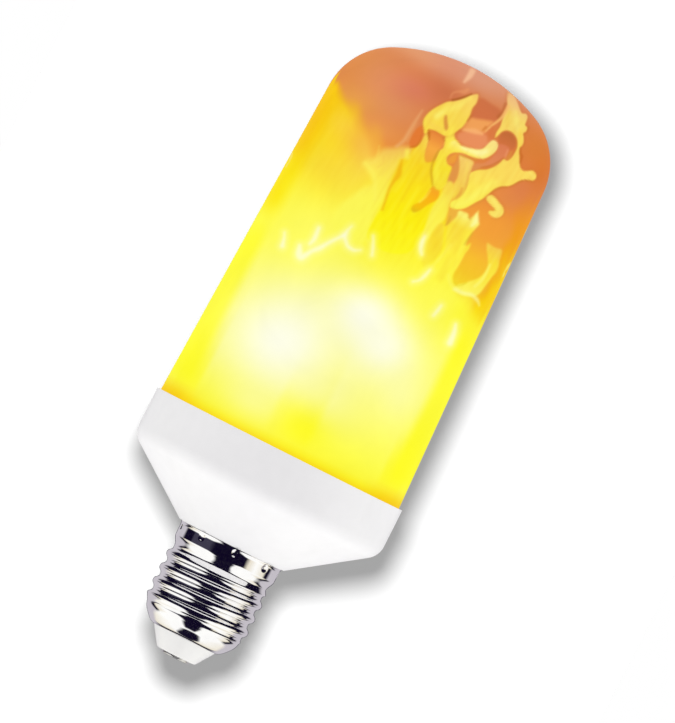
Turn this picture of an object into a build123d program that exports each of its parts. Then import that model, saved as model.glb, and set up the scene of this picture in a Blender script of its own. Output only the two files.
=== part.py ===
from build123d import *
import math
import os

# Flame effect LED bulb with an Edison screw cap. The axis is +Z, the dome is up, and the origin is the
# middle of the centre contact's face at the very bottom. Lengths are in millimetres, angles in degrees.

# Play between pieces that seat in one another
seat_gap = 0.08
hole_gap = 0.15

# Centre contact: a rivet through the tip insulator
contact_radius = 3.6
contact_thickness = 0.6
contact_edge_radius = 0.3
contact_shank_radius = 1.5
contact_shank_length = 5.8
contact_swage_radius = 2.5
contact_swage_height = 0.6

# Screw shell: rolled sheet with the Edison thread, a bell below it and a plain skirt above it
shell_sheet = 0.3
shell_mouth_radius = 8.2
shell_mouth_height = 5.2
bell_slope = 45.0
bell_corner_radius = 1.2
thread_crest_radius = 13.1
thread_depth = 0.97
thread_pitch = 3.629
thread_length = 14.455
thread_phase = 51.4
thread_ramp = 2.2
thread_land = 0.03
thread_backing = 0.25
skirt_blend_height = 0.8
skirt_height = 6.1
lip_flare = 0.35
lip_height = 0.5

# Staking dimples that lock the shell to the neck
dimple_count = 9
dimple_first_angle = 277.0
dimple_radius = 1.5
dimple_depth = 0.45
dimple_below_lip = 1.5

# Tip insulator: the pale cone between the shell and the contact
insulator_tip_radius = 5.0
insulator_tip_rounding = 0.9
insulator_mouth_overlap = 0.25
insulator_rim_inset = 0.25
insulator_spigot_height = 1.2
insulator_spigot_wall = 1.77
insulator_cup_chamfer = 0.8

# Housing: neck, cone and rim
neck_wall = 1.7
neck_clearance = 1.55
collar_height = 4.6
shoulder_step = 0.45
housing_radius = 32.6
housing_wall = 2.0
cone_slope = 35.5
cone_corner_radius = 5.0
rim_band_height = 12.1614
rim_wall = 0.86
rim_edge_radius = 0.55
gusset_count = 12
gusset_thickness = 1.2
gusset_reach = 5.1
gusset_height = 7.0
wire_notch_width = 2.4

# Diffuser cover: a drafted tube with a domed end, snapped into the rim
cover_height = 101.8
cover_wall = 1.3
cover_draft = 2.16
crown_drop = 10.1
dome_corner_radius = 17.0
cover_insert_depth = 5.0
bead_height = 0.35
bead_width = 1.6

# Driver board: a round board on the housing's ledge
board_thickness = 1.6
board_edge_gap = 0.3
board_mask_radius = 1.6

# LED core: a six-sided former with one LED panel on each face
panel_count = 6
core_headroom = 20.8
former_apothem = 16.3
former_wall = 1.2
former_web = 1.0
hub_radius = 4.6
hub_stem_bore = 2.6
hub_screw_bore = 1.55
hub_screw_depth = 9.0
panel_side_gap = 0.1
panel_thickness = 1.0
panel_tab_width = 7.0
panel_tab_proud = 0.8
panel_corner_radius = 0.8

# LEDs: two columns of nine on each panel
led_width = 2.8
led_length = 3.5
led_thickness = 0.7
led_corner_cut = 0.5
led_window_border = 0.35
led_window_depth = 0.1
led_column_spacing = 9.4
led_row_spacing = 9.0
led_end_margin = 4.5
led_columns = 2

# Top cap of the core
cap_overhang = 0.4
cap_plate = 1.6
cap_edge_radius = 0.5
cap_dome_radius = 14.0
cap_dome_rise = 4.5
cap_stem_length = 8.0

# Core screw: a pan head screw up through the board into the hub
screw_shank_radius = 1.5
screw_shank_length = 8.0
screw_head_radius = 2.8
screw_head_height = 2.0
screw_slot_width = 0.7
screw_slot_depth = 1.0

# Parts under the driver board: places are seen from above
lead_radius = 0.3
lead_proud = 0.9
input_capacitor_at = (-9.6, 0.0)
input_capacitor_radius = 4.0
input_capacitor_height = 12.0
output_capacitor_at = (9.6, 0.0)
output_capacitor_radius = 4.0
output_capacitor_height = 10.0
capacitor_lead_spacing = 3.5
capacitor_groove = 0.35
capacitor_edge_radius = 0.6
choke_at = (-5.3, -9.2)
choke_radius = 4.0
choke_core_radius = 2.3
choke_flange = 1.0
choke_height = 9.0
choke_lead_spacing = 5.0
rectifier_at = (5.3, -9.2)
rectifier_size = (6.5, 8.5, 3.2)
rectifier_lead_spacing = 5.1
rectifier_chamfer = 0.4
resistor_inset = 9.64
resistor_radius = 1.7
resistor_length = 8.0
resistor_lead_spacing = 11.0
resistor_clearance = 0.5
resistor_lead_bend = 0.8
resistor_end_rounding = 0.6
chip_spacing = 6.8
driver_chip_size = (5.0, 3.9, 1.5)
driver_chip_pins = 4
controller_inset = 9.84
controller_size = (10.0, 3.9, 1.5)
controller_pins = 8
chip_pin_pitch = 1.27
chip_pin_width = 0.42
chip_pin_reach = 1.05
chip_pin_thickness = 0.2
chip_lift = 0.2
switch_count = 9
switch_inset = 7.44
switch_first_angle = 200.0
switch_last_angle = 340.0
switch_size = (1.4, 2.9, 1.1)

# Leads from the board to the cap
wire_radius = 0.6
live_wire_start = (-2.6, -4.4)
live_wire_slack = (1.8, 1.4)
neutral_wire_start = (4.6, -3.4)
neutral_wire_off_wall = 0.6
neutral_wire_end_gap = 0.05
wire_corner_share = 0.45

# Heights and radii that follow from the sizes above
thread_root_radius = round(thread_crest_radius - thread_depth, 6)
thread_wave = thread_crest_radius - thread_root_radius
thread_rounding = thread_wave / 4 + thread_pitch**2 / (16 * thread_wave)
thread_core_radius = thread_root_radius + thread_land
bell_corner_height = shell_mouth_height + (thread_core_radius - shell_mouth_radius) * math.tan(
    math.radians(bell_slope)
)
bell_tangent = bell_corner_radius * math.tan(math.radians(90 - bell_slope) / 2)
thread_start = bell_corner_height + bell_tangent
thread_end = thread_start + thread_length
skirt_start = thread_end + skirt_blend_height
shell_top = thread_end + skirt_height

collar_radius = thread_crest_radius - shell_sheet - seat_gap
collar_start = shell_top - collar_height
neck_radius = thread_root_radius - shell_sheet - seat_gap
neck_bore = neck_radius - neck_wall
neck_start = (
    shell_mouth_height
    + (neck_radius - shell_mouth_radius + shell_sheet) * math.tan(math.radians(bell_slope))
    + neck_clearance
)
insulator_rim_radius = neck_radius - insulator_rim_inset
insulator_cup_radius = neck_bore - seat_gap - insulator_spigot_wall
shoulder_radius = thread_crest_radius + lip_flare + shoulder_step
shoulder_height = shell_top
cone_rise = (housing_radius - shoulder_radius) * math.tan(math.radians(cone_slope))
cone_corner_height = shoulder_height + cone_rise
rim_top = cone_corner_height + rim_band_height
rim_bore = housing_radius - rim_wall
cover_base_radius = rim_bore - seat_gap / 2
board_top = rim_top - cover_insert_depth
board_bottom = board_top - board_thickness
board_radius = rim_bore - board_edge_gap
housing_bore = housing_radius - housing_wall
gusset_inner_radius = housing_bore - gusset_reach
cover_top = rim_top + cover_height
bead_middle = rim_top - cover_insert_depth / 2
panel_apothem = former_apothem + panel_thickness
panel_width = 2 * former_apothem * math.tan(math.pi / panel_count) - 2 * panel_side_gap
panel_height = cover_top - board_top - core_headroom
core_top = board_top + panel_height
led_rows = int((panel_height - led_length - 2 * led_end_margin) / led_row_spacing) + 1
resistor_at = (board_radius - resistor_inset, 0.0)
controller_at = (0.0, board_radius - controller_inset)
driver_chip_at = (0.0, controller_at[1] - chip_spacing)
switch_circle = board_radius - switch_inset
neutral_exit_height = thread_start + thread_pitch * (1 - thread_phase / 360)
dimple_height = shell_top - dimple_below_lip
dimple_middle = thread_crest_radius + dimple_radius - dimple_depth


def centre_contact_part():
    """Rivet: the head below, the shank up through the insulator and the swaged end on its floor."""
    with BuildPart() as contact:
        with BuildSketch(Plane.XY):
            Circle(contact_radius)
        extrude(amount=contact_thickness)
        fillet(contact.edges().sort_by(Axis.Z)[0], contact_edge_radius)
        with BuildSketch(Plane.XY.offset(contact_thickness)):
            Circle(contact_shank_radius)
        extrude(amount=contact_shank_length)
        with BuildSketch(Plane.XY.offset(contact_thickness + contact_shank_length)):
            Circle(contact_swage_radius)
        extrude(amount=contact_swage_height)
        fillet(contact.edges().sort_by(Axis.Z)[-1], contact_edge_radius)
    return contact


def tip_insulator_part():
    """A cone outside the shell's mouth, a seat inside the bell and a spigot into the neck."""
    mouth_inside = shell_mouth_radius - shell_sheet - seat_gap
    rim_rise = (insulator_rim_radius - mouth_inside) * math.tan(math.radians(bell_slope))
    cone_top_radius = shell_mouth_radius - shell_sheet + insulator_mouth_overlap
    spigot_radius = neck_bore - seat_gap
    spigot_top = neck_start + insulator_spigot_height
    bore_radius = contact_shank_radius + seat_gap
    cup_floor = contact_thickness + contact_shank_length
    with BuildPart() as insulator:
        with BuildSketch(Plane.XZ) as profile:
            with BuildLine():
                Polyline(
                    (bore_radius, contact_thickness),
                    (insulator_tip_radius, contact_thickness),
                    (cone_top_radius, shell_mouth_height),
                    (mouth_inside, shell_mouth_height),
                    (insulator_rim_radius, shell_mouth_height + rim_rise),
                    (insulator_rim_radius, neck_start),
                    (spigot_radius, neck_start),
                    (spigot_radius, spigot_top),
                    (insulator_cup_radius, spigot_top),
                    (insulator_cup_radius, cup_floor + insulator_cup_chamfer),
                    (insulator_cup_radius - insulator_cup_chamfer, cup_floor),
                    (bore_radius, cup_floor),
                    close=True,
                )
            make_face()
            tip_corner = profile.vertices().group_by(Axis.Y)[0].sort_by(Axis.X)[-1]
            fillet(tip_corner, insulator_tip_rounding)
        revolve(axis=Axis.Z)
    return insulator


def thread_ridge(inward):
    """The rounded thread, swept up the helix from a turn below it to a turn above it."""
    crest = thread_crest_radius - inward
    root = thread_root_radius - inward
    path_radius = crest - thread_rounding
    path_start = thread_start - thread_pitch
    groove_middle = root + thread_rounding - path_radius
    foot_x = root + thread_land / 3 - path_radius
    foot_y = thread_pitch / 2 - math.sqrt(thread_rounding**2 - (groove_middle - foot_x) ** 2)
    flank = (groove_middle / 2, thread_pitch / 4)
    flank_angle = math.atan2(thread_pitch / 2, groove_middle)
    groove_x = groove_middle - thread_rounding * math.cos(flank_angle / 2)
    groove_y = thread_pitch / 2 - thread_rounding * math.sin(flank_angle / 2)
    back_x = root - thread_backing - path_radius
    with BuildPart() as ridge:
        with BuildLine():
            Helix(thread_pitch, thread_length + 2 * thread_pitch, path_radius, center=(0, 0, path_start))
        with BuildSketch(Plane((path_radius, 0, path_start), x_dir=(1, 0, 0), z_dir=(0, 1, 0))):
            with BuildLine():
                ThreePointArc((foot_x, foot_y), (groove_x, groove_y), flank)
                ThreePointArc(flank, (thread_rounding, 0), (flank[0], -flank[1]))
                ThreePointArc((flank[0], -flank[1]), (groove_x, -groove_y), (foot_x, -foot_y))
                Polyline((foot_x, -foot_y), (back_x, -foot_y), (back_x, foot_y), (foot_x, foot_y))
            make_face()
        sweep(is_frenet=True)
    return ridge.part


def thread_solid(inward):
    """Solid thread inside the sheet's outer or inner face: it ramps up from the core and down again."""
    core = thread_core_radius - inward
    clear = thread_crest_radius - inward + thread_land
    with BuildPart() as envelope:
        with BuildSketch(Plane.XZ):
            Polygon(
                (0, thread_start),
                (core, thread_start),
                (clear, thread_start + thread_ramp),
                (clear, thread_end - thread_ramp),
                (core, thread_end),
                (0, thread_end),
                align=None,
            )
        revolve(axis=Axis.Z)
    with BuildPart() as thread:
        with Locations((0, 0, (thread_start + thread_end) / 2)):
            Cylinder(core, thread_length + 4 * thread_pitch)
        add(thread_ridge(inward), rotation=(0, 0, thread_phase))
        add(envelope.part, mode=Mode.INTERSECT)
    return thread.part


def dimple_spheres(radius):
    """One ball at each staking dimple, centred outside the skirt."""
    with BuildPart() as balls:
        with Locations((0, 0, dimple_height)):
            with PolarLocations(dimple_middle, dimple_count, start_angle=dimple_first_angle):
                Sphere(radius)
    return balls.part


def dimple_bumps():
    """The sheet's inner bulge at each dimple, cut off inside the sheet."""
    with BuildPart() as bumps:
        add(dimple_spheres(dimple_radius + shell_sheet))
        with Locations((0, 0, dimple_height)):
            Cylinder(thread_crest_radius - shell_sheet / 2, 4 * dimple_radius, mode=Mode.INTERSECT)
    return bumps.part


def thread_sheet():
    """The threaded band of the shell, open at both ends."""
    with BuildPart() as sheet:
        add(thread_solid(0))
        add(thread_solid(shell_sheet), mode=Mode.SUBTRACT)
    return sheet.part


def screw_shell_part():
    """Sheet shell: each zone is a band of even sheet, and the zones meet on level rings."""
    with BuildPart() as shell:
        with BuildSketch(Plane.XZ) as bell:
            with BuildLine():
                cone = Line(
                    (shell_mouth_radius, shell_mouth_height),
                    (
                        thread_core_radius - bell_tangent * math.cos(math.radians(bell_slope)),
                        bell_corner_height - bell_tangent * math.sin(math.radians(bell_slope)),
                    ),
                )
                corner = TangentArc(cone @ 1, (thread_core_radius, thread_start), tangent=cone % 1)
                Line(corner @ 1, (thread_core_radius - shell_sheet, thread_start))
                inner_corner = TangentArc(
                    (thread_core_radius - shell_sheet, thread_start),
                    cone @ 1 - (shell_sheet, 0),
                    tangent=(0, -1),
                )
                inner_cone = Line(inner_corner @ 1, cone @ 0 - (shell_sheet, 0))
                Line(inner_cone @ 1, cone @ 0)
            make_face()
        revolve(axis=Axis.Z)

        add(thread_sheet())

        lip_start = shell_top - lip_height
        with BuildSketch(Plane.XZ) as skirt:
            with BuildLine():
                for inward in (0, shell_sheet):
                    low = (thread_core_radius - inward, thread_end)
                    start = (thread_crest_radius - inward, skirt_start)
                    Spline(low, start, tangents=[(0, 1), (0, 1)])
                    straight = Line(start, (thread_crest_radius - inward, lip_start))
                    TangentArc(
                        straight @ 1,
                        (thread_crest_radius - inward + lip_flare, shell_top),
                        tangent=(0, 1),
                    )
                Line((thread_core_radius, thread_end), (thread_core_radius - shell_sheet, thread_end))
                Line(
                    (thread_crest_radius + lip_flare, shell_top),
                    (thread_crest_radius - shell_sheet + lip_flare, shell_top),
                )
            make_face()
        revolve(axis=Axis.Z)

        add(dimple_bumps())
        add(dimple_spheres(dimple_radius), mode=Mode.SUBTRACT)
    return shell


def gusset_rib(foot_height, slope):
    """One rib in the XZ plane: its foot lies in the cone's wall and its top corner meets the ledge."""
    wall_middle = housing_bore + housing_wall / 2
    with BuildPart() as rib:
        with BuildSketch(Plane.XZ):
            with BuildLine():
                Polyline(
                    (gusset_inner_radius, foot_height + (gusset_inner_radius - shoulder_radius) * slope),
                    (gusset_inner_radius, board_bottom - gusset_height / 2),
                    (housing_bore - board_edge_gap, board_bottom),
                    (wall_middle, board_bottom - gusset_height / 4),
                    (wall_middle, cone_corner_height),
                    close=True,
                )
            make_face()
        extrude(amount=gusset_thickness / 2, both=True)
    return rib.part


def base_housing_part():
    """Moulded neck, cone and rim in one wall, with a ledge for the board and gussets under it."""
    wall_rise = housing_wall / math.cos(math.radians(cone_slope))
    slope = math.tan(math.radians(cone_slope))
    inner_corner_height = shoulder_height + wall_rise + (housing_bore - shoulder_radius) * slope
    neck_mouth_height = shoulder_height + wall_rise + (neck_bore - shoulder_radius) * slope
    with BuildPart() as housing:
        with BuildSketch(Plane.XZ) as profile:
            with BuildLine():
                Polyline(
                    (neck_bore, neck_start),
                    (neck_radius, neck_start),
                    (neck_radius, collar_start - (collar_radius - neck_radius)),
                    (collar_radius, collar_start),
                    (collar_radius, shoulder_height),
                    (shoulder_radius, shoulder_height),
                    (housing_radius, cone_corner_height),
                    (housing_radius, rim_top),
                    (rim_bore, rim_top),
                    (rim_bore, board_bottom),
                    (housing_bore, board_bottom),
                    (housing_bore, inner_corner_height),
                    (neck_bore, neck_mouth_height),
                    close=True,
                )
            make_face()
            outer_corners = profile.vertices().filter_by_position(
                Axis.X, housing_radius - seat_gap, housing_radius + seat_gap
            )
            fillet(outer_corners.sort_by(Axis.Y)[0], cone_corner_radius)
            fillet(outer_corners.sort_by(Axis.Y)[-1], rim_edge_radius)
            inner_corner = profile.vertices().filter_by_position(
                Axis.X, housing_bore - seat_gap, housing_bore + seat_gap
            )
            fillet(inner_corner.sort_by(Axis.Y)[0], cone_corner_radius - housing_wall)
        revolve(axis=Axis.Z)

        # Groove for the cover's snap bead
        with BuildSketch(Plane.XZ):
            with Locations((rim_bore, bead_middle)):
                Ellipse(bead_height + seat_gap, bead_width / 2 + seat_gap)
        revolve(axis=Axis.Z, mode=Mode.SUBTRACT)

        # Gussets from the cone up to the ledge
        with PolarLocations(0, gusset_count, start_angle=180 / gusset_count):
            add(gusset_rib(shoulder_height + wall_rise / 2, slope))

        # Pockets for the shell's dimples, and a notch that lets the neutral wire out to the shell
        add(dimple_spheres(dimple_radius + shell_sheet + seat_gap), mode=Mode.SUBTRACT)
        with Locations((neck_radius, 0, neck_start)):
            Box(
                3 * neck_wall,
                wire_notch_width,
                neutral_exit_height + wire_radius + hole_gap - neck_start,
                align=(Align.CENTER, Align.CENTER, Align.MIN),
                mode=Mode.SUBTRACT,
            )
    return housing


def diffuser_cover_part():
    """Thin drafted tube with a domed end and a snap bead round the part that enters the rim."""
    dome_corner_height = cover_top - crown_drop
    narrowing = (dome_corner_height - rim_top) * math.tan(math.radians(cover_draft))
    with BuildPart() as cover:
        with BuildSketch(Plane.XZ) as profile:
            with BuildLine():
                Polyline(
                    (0, cover_top),
                    (0, board_top),
                    (cover_base_radius, board_top),
                    (cover_base_radius, rim_top),
                    (cover_base_radius - narrowing, dome_corner_height),
                )
                TangentArc(
                    (0, cover_top),
                    (cover_base_radius - narrowing, dome_corner_height),
                    tangent=(1, 0),
                )
            make_face()
            dome_corner = profile.vertices().filter_by_position(
                Axis.Y, dome_corner_height - seat_gap, dome_corner_height + seat_gap
            )
            fillet(dome_corner, dome_corner_radius)
        revolve(axis=Axis.Z)
        offset(amount=-cover_wall, openings=cover.faces().sort_by(Axis.Z)[0])
        with BuildSketch(Plane.XZ):
            with Locations((cover_base_radius, bead_middle)):
                Ellipse(bead_height, bead_width / 2)
        revolve(axis=Axis.Z)
    return cover


def driver_board_part(lead_places):
    """Round board with a slot for each panel's tab, a screw hole and holes for the leads."""
    with BuildPart() as board:
        with BuildSketch(Plane.XY.offset(board_bottom)):
            Circle(board_radius)
            with PolarLocations(former_apothem + panel_thickness / 2, panel_count):
                Rectangle(
                    panel_thickness + 2 * hole_gap,
                    panel_tab_width + 2 * hole_gap,
                    mode=Mode.SUBTRACT,
                )
            Circle(screw_shank_radius + hole_gap, mode=Mode.SUBTRACT)
            with Locations(*lead_places):
                Circle(lead_radius + hole_gap, mode=Mode.SUBTRACT)
        extrude(amount=board_thickness)
    return board


def core_former_part():
    """Six-sided tube with a hub and a web out to each corner."""
    corner_radius = former_apothem / math.cos(math.pi / panel_count)
    inner_corner_radius = (former_apothem - former_wall) / math.cos(math.pi / panel_count)
    half_turn = 180 / panel_count
    with BuildPart() as former:
        with BuildSketch(Plane.XY.offset(board_top)):
            with Locations(Rotation(0, 0, half_turn)):
                RegularPolygon(corner_radius, panel_count)
                RegularPolygon(inner_corner_radius, panel_count, mode=Mode.SUBTRACT)
            with PolarLocations(0, panel_count, start_angle=half_turn):
                Rectangle(
                    corner_radius - former_wall,
                    former_web,
                    align=(Align.MIN, Align.CENTER),
                )
            Circle(hub_radius)
        extrude(amount=panel_height)
        with BuildSketch(Plane.XY.offset(board_top)):
            Circle(hub_screw_bore)
        extrude(amount=hub_screw_depth, mode=Mode.SUBTRACT)
        with BuildSketch(Plane.XY.offset(core_top)):
            Circle(hub_stem_bore)
        extrude(amount=-(cap_stem_length + seat_gap), mode=Mode.SUBTRACT)
    return former


def panel_plane(index):
    """Plane on the former's face that carries a panel: its X runs round the core and its Y runs up."""
    angle = 2 * math.pi * index / panel_count
    outward = (math.cos(angle), math.sin(angle), 0)
    sideways = (-math.sin(angle), math.cos(angle), 0)
    origin = (former_apothem * outward[0], former_apothem * outward[1], board_top)
    return Plane(origin=origin, x_dir=sideways, z_dir=outward)


def led_panel_part(index):
    """Flat LED board with a solder tab down through the driver board."""
    with BuildPart() as panel:
        with BuildSketch(panel_plane(index)):
            with Locations((0, panel_height / 2)):
                RectangleRounded(panel_width, panel_height, panel_corner_radius)
            with Locations((0, panel_height / 4)):
                Rectangle(panel_tab_width, panel_height / 2)
            with Locations((0, 0)):
                Rectangle(
                    panel_tab_width,
                    board_thickness + panel_tab_proud,
                    align=(Align.CENTER, Align.MAX),
                )
        extrude(amount=panel_thickness)
    return panel


def leds_part(index):
    """The LEDs of one panel: each is a body with a cut corner and a sunk window."""
    face = panel_plane(index).offset(panel_thickness)
    top = face.offset(led_thickness)
    middle = (0, panel_height / 2)
    with BuildPart() as leds:
        with BuildSketch(face):
            with Locations(middle), GridLocations(
                led_column_spacing, led_row_spacing, led_columns, led_rows
            ):
                Polygon(
                    (-led_width / 2, -led_length / 2),
                    (led_width / 2, -led_length / 2),
                    (led_width / 2, led_length / 2 - led_corner_cut),
                    (led_width / 2 - led_corner_cut, led_length / 2),
                    (-led_width / 2, led_length / 2),
                    align=None,
                )
        extrude(amount=led_thickness)
        with BuildSketch(top):
            with Locations(middle), GridLocations(
                led_column_spacing, led_row_spacing, led_columns, led_rows
            ):
                Rectangle(
                    led_width - 2 * led_window_border - led_corner_cut / 2,
                    led_length - 2 * led_window_border - led_corner_cut / 2,
                )
        extrude(amount=-led_window_depth, mode=Mode.SUBTRACT)
    return leds


def core_top_cap_part():
    """Six-sided plate over the panels' ends, with a low dome and a stem into the hub."""
    plate_corner_radius = (panel_apothem + cap_overhang) / math.cos(math.pi / panel_count)
    plate_top = core_top + cap_plate
    with BuildPart() as cap:
        with BuildSketch(Plane.XY.offset(core_top)):
            with Locations(Rotation(0, 0, 180 / panel_count)):
                RegularPolygon(plate_corner_radius, panel_count)
        extrude(amount=cap_plate)
        fillet(cap.faces().sort_by(Axis.Z)[-1].edges(), cap_edge_radius)
        with BuildSketch(Plane.XZ):
            with BuildLine():
                Polyline((0, plate_top + cap_dome_rise), (0, plate_top), (cap_dome_radius, plate_top))
                TangentArc(
                    (0, plate_top + cap_dome_rise),
                    (cap_dome_radius, plate_top),
                    tangent=(1, 0),
                )
            make_face()
        revolve(axis=Axis.Z)
        with BuildSketch(Plane.XY.offset(core_top)):
            Circle(hub_stem_bore - seat_gap)
        extrude(amount=-cap_stem_length)
    return cap


def core_screw_part():
    """Pan head screw: slotted head under the board, plain shank in the hub."""
    with BuildPart() as screw:
        with BuildSketch(Plane.XY.offset(board_bottom)):
            Circle(screw_head_radius)
        extrude(amount=-screw_head_height)
        fillet(screw.edges().sort_by(Axis.Z)[0], screw_head_height / 3)
        with Locations((0, 0, board_bottom - screw_head_height)):
            Box(
                3 * screw_head_radius,
                screw_slot_width,
                screw_slot_depth,
                align=(Align.CENTER, Align.CENTER, Align.MIN),
                mode=Mode.SUBTRACT,
            )
        with BuildSketch(Plane.XY.offset(board_bottom)):
            Circle(screw_shank_radius)
        extrude(amount=screw_shank_length)
        chamfer(screw.edges().sort_by(Axis.Z)[-1], screw_shank_radius / 2)
    return screw


def lead_pair_places(at, spacing, along_x=True):
    """Places of two leads, spacing apart, either side of a part."""
    step_x, step_y = (spacing / 2, 0) if along_x else (0, spacing / 2)
    return [(at[0] - step_x, at[1] - step_y), (at[0] + step_x, at[1] + step_y)]


def lead_rods(places):
    """Straight leads that run up through the board."""
    with BuildPart() as rods:
        with BuildSketch(Plane.XY.offset(board_bottom)):
            with Locations(*places):
                Circle(lead_radius)
        extrude(amount=board_thickness + lead_proud)
    return rods.part


def capacitor_part(at, radius, height, places):
    """Electrolytic can hanging from its leads, with the crimp groove near the board."""
    groove_height = board_bottom - radius / 2
    with BuildPart() as capacitor:
        with BuildSketch(Plane.XY.offset(board_bottom)):
            with Locations(at):
                Circle(radius)
        extrude(amount=-height)
        fillet(capacitor.edges().sort_by(Axis.Z)[0], capacitor_edge_radius)
        with Locations((at[0], at[1], groove_height)):
            Torus(radius + capacitor_groove, 2 * capacitor_groove, mode=Mode.SUBTRACT)
        add(lead_rods(places))
    return capacitor


def choke_part(places):
    """Drum choke: two flanges with the winding between them."""
    with BuildPart() as choke:
        with BuildSketch(Plane.XY.offset(board_bottom)):
            with Locations(choke_at):
                Circle(choke_radius)
        extrude(amount=-choke_height)
        with BuildSketch(Plane.XY.offset(board_bottom - choke_flange)):
            with Locations(choke_at):
                Circle(choke_radius)
                Circle((choke_radius + choke_core_radius) / 2, mode=Mode.SUBTRACT)
        extrude(amount=-(choke_height - 2 * choke_flange), mode=Mode.SUBTRACT)
        add(lead_rods(places))
    return choke


def rectifier_part(places):
    """Bridge rectifier block with its four leads."""
    with BuildPart() as rectifier:
        with Locations((*rectifier_at, board_bottom)):
            Box(*rectifier_size, align=(Align.CENTER, Align.CENTER, Align.MAX))
        chamfer(rectifier.faces().sort_by(Axis.Z)[0].edges(), rectifier_chamfer)
        add(lead_rods(places))
    return rectifier


def fusible_resistor_part(places):
    """Resistor lying along the board, on one lead that is bent up through the board at both ends."""
    axis_height = board_bottom - resistor_radius - resistor_clearance
    lead_top = board_top + lead_proud
    (first_x, first_y), (last_x, last_y) = places
    with BuildPart() as resistor:
        with BuildLine():
            FilletPolyline(
                (first_x, first_y, lead_top),
                (first_x, first_y, axis_height),
                (last_x, last_y, axis_height),
                (last_x, last_y, lead_top),
                radius=resistor_lead_bend,
            )
        with BuildSketch(Plane.XY.offset(lead_top)):
            with Locations((first_x, first_y)):
                Circle(lead_radius)
        sweep()
        with BuildSketch(Plane.XZ.offset(-resistor_at[1])):
            with Locations((resistor_at[0], axis_height)):
                Circle(resistor_radius)
        extrude(amount=resistor_length / 2, both=True)
        ends = resistor.edges().filter_by(GeomType.CIRCLE).filter_by(
            lambda edge: abs(edge.radius - resistor_radius) < lead_radius
        )
        fillet(ends, resistor_end_rounding)
    return resistor


def chip_part(at, size, pins):
    """Surface chip under the board: a moulded body lifted off it, with a row of pins each side."""
    pin_row = size[1] / 2 + chip_pin_reach / 2
    with BuildPart() as chip:
        with Locations((at[0], at[1], board_bottom - chip_lift)):
            Box(*size, align=(Align.CENTER, Align.CENTER, Align.MAX))
        chamfer(chip.faces().sort_by(Axis.Z)[0].edges(), chip_pin_thickness)
        with BuildSketch(Plane.XY.offset(board_bottom)):
            with Locations(at), GridLocations(chip_pin_pitch, 2 * pin_row, pins, 2):
                Rectangle(chip_pin_width, chip_pin_reach)
        extrude(amount=-chip_pin_thickness)
        with BuildSketch(Plane.XY.offset(board_bottom)):
            with Locations(at), GridLocations(chip_pin_pitch, size[1] + chip_pin_thickness, pins, 2):
                Rectangle(chip_pin_width, 2 * chip_pin_thickness)
        extrude(amount=-(chip_lift + size[2] / 2))
    return chip


def row_switches_part():
    """The nine row transistors, on an arc near the board's edge."""
    sweep_angle = switch_last_angle - switch_first_angle
    with BuildPart() as switches:
        with Locations((0, 0, board_bottom)):
            with PolarLocations(
                switch_circle,
                switch_count,
                start_angle=switch_first_angle,
                angular_range=sweep_angle,
                endpoint=True,
            ):
                Box(*switch_size, align=(Align.CENTER, Align.CENTER, Align.MAX))
    return switches


def wire_route_radii(points):
    """Bend radius at each corner: as large as the two runs beside it allow."""
    radii = []
    for before, corner, after in zip(points, points[1:], points[2:]):
        run_in = Vector(*corner) - Vector(*before)
        run_out = Vector(*after) - Vector(*corner)
        half_turn = math.radians(run_in.get_angle(run_out)) / 2
        radii.append(wire_corner_share * min(run_in.length, run_out.length) / math.tan(half_turn))
    return radii


def wire_part(points):
    """Insulated wire of straight runs joined by tangent arcs, with the start on the board."""
    with BuildPart() as wire:
        with BuildLine() as route:
            FilletPolyline(*points, radius=wire_route_radii(points))
        start = Vector(*points[0])
        with BuildSketch(Plane(origin=start, z_dir=route.line % 0)):
            Circle(wire_radius)
        sweep()
    return wire


def live_wire_points():
    """From the board down the neck to the contact's swaged end, a little slack on the way."""
    contact_top = contact_thickness + contact_shank_length + contact_swage_height
    drop = board_bottom - contact_top
    start = live_wire_start
    slack = live_wire_slack
    return [
        (start[0], start[1], board_bottom),
        (start[0], start[1], board_bottom - drop * 0.26),
        (slack[0], slack[1], board_bottom - drop * 0.52),
        (0, 0, board_bottom - drop * 0.78),
        (0, 0, contact_top),
    ]


def neutral_wire_points():
    """From the board down the neck's wall and out through the notch to the inside of a thread crest."""
    wall_x = neck_bore - neutral_wire_off_wall - wire_radius
    crest_drop = thread_rounding - math.sqrt(thread_rounding**2 - wire_radius**2)
    end_x = thread_crest_radius - shell_sheet - crest_drop - neutral_wire_end_gap
    start = neutral_wire_start
    drop = board_bottom - neutral_exit_height
    return [
        (start[0], start[1], board_bottom),
        (start[0], start[1], board_bottom - drop * 0.3),
        (wall_x, 0, board_bottom - drop * 0.62),
        (wall_x, 0, neutral_exit_height),
        (end_x, 0, neutral_exit_height),
    ]


os.makedirs("parts", exist_ok=True)

capacitor_places = [
    lead_pair_places(input_capacitor_at, capacitor_lead_spacing, along_x=False),
    lead_pair_places(output_capacitor_at, capacitor_lead_spacing, along_x=False),
]
choke_places = lead_pair_places(choke_at, choke_lead_spacing)
rectifier_places = [
    (rectifier_at[0] + x, rectifier_at[1] + y)
    for x in (-rectifier_lead_spacing / 2, rectifier_lead_spacing / 2)
    for y in (-rectifier_lead_spacing / 2, rectifier_lead_spacing / 2)
]
resistor_places = lead_pair_places(resistor_at, resistor_lead_spacing, along_x=False)
all_lead_places = [
    *capacitor_places[0],
    *capacitor_places[1],
    *choke_places,
    *rectifier_places,
    *resistor_places,
]

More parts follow.
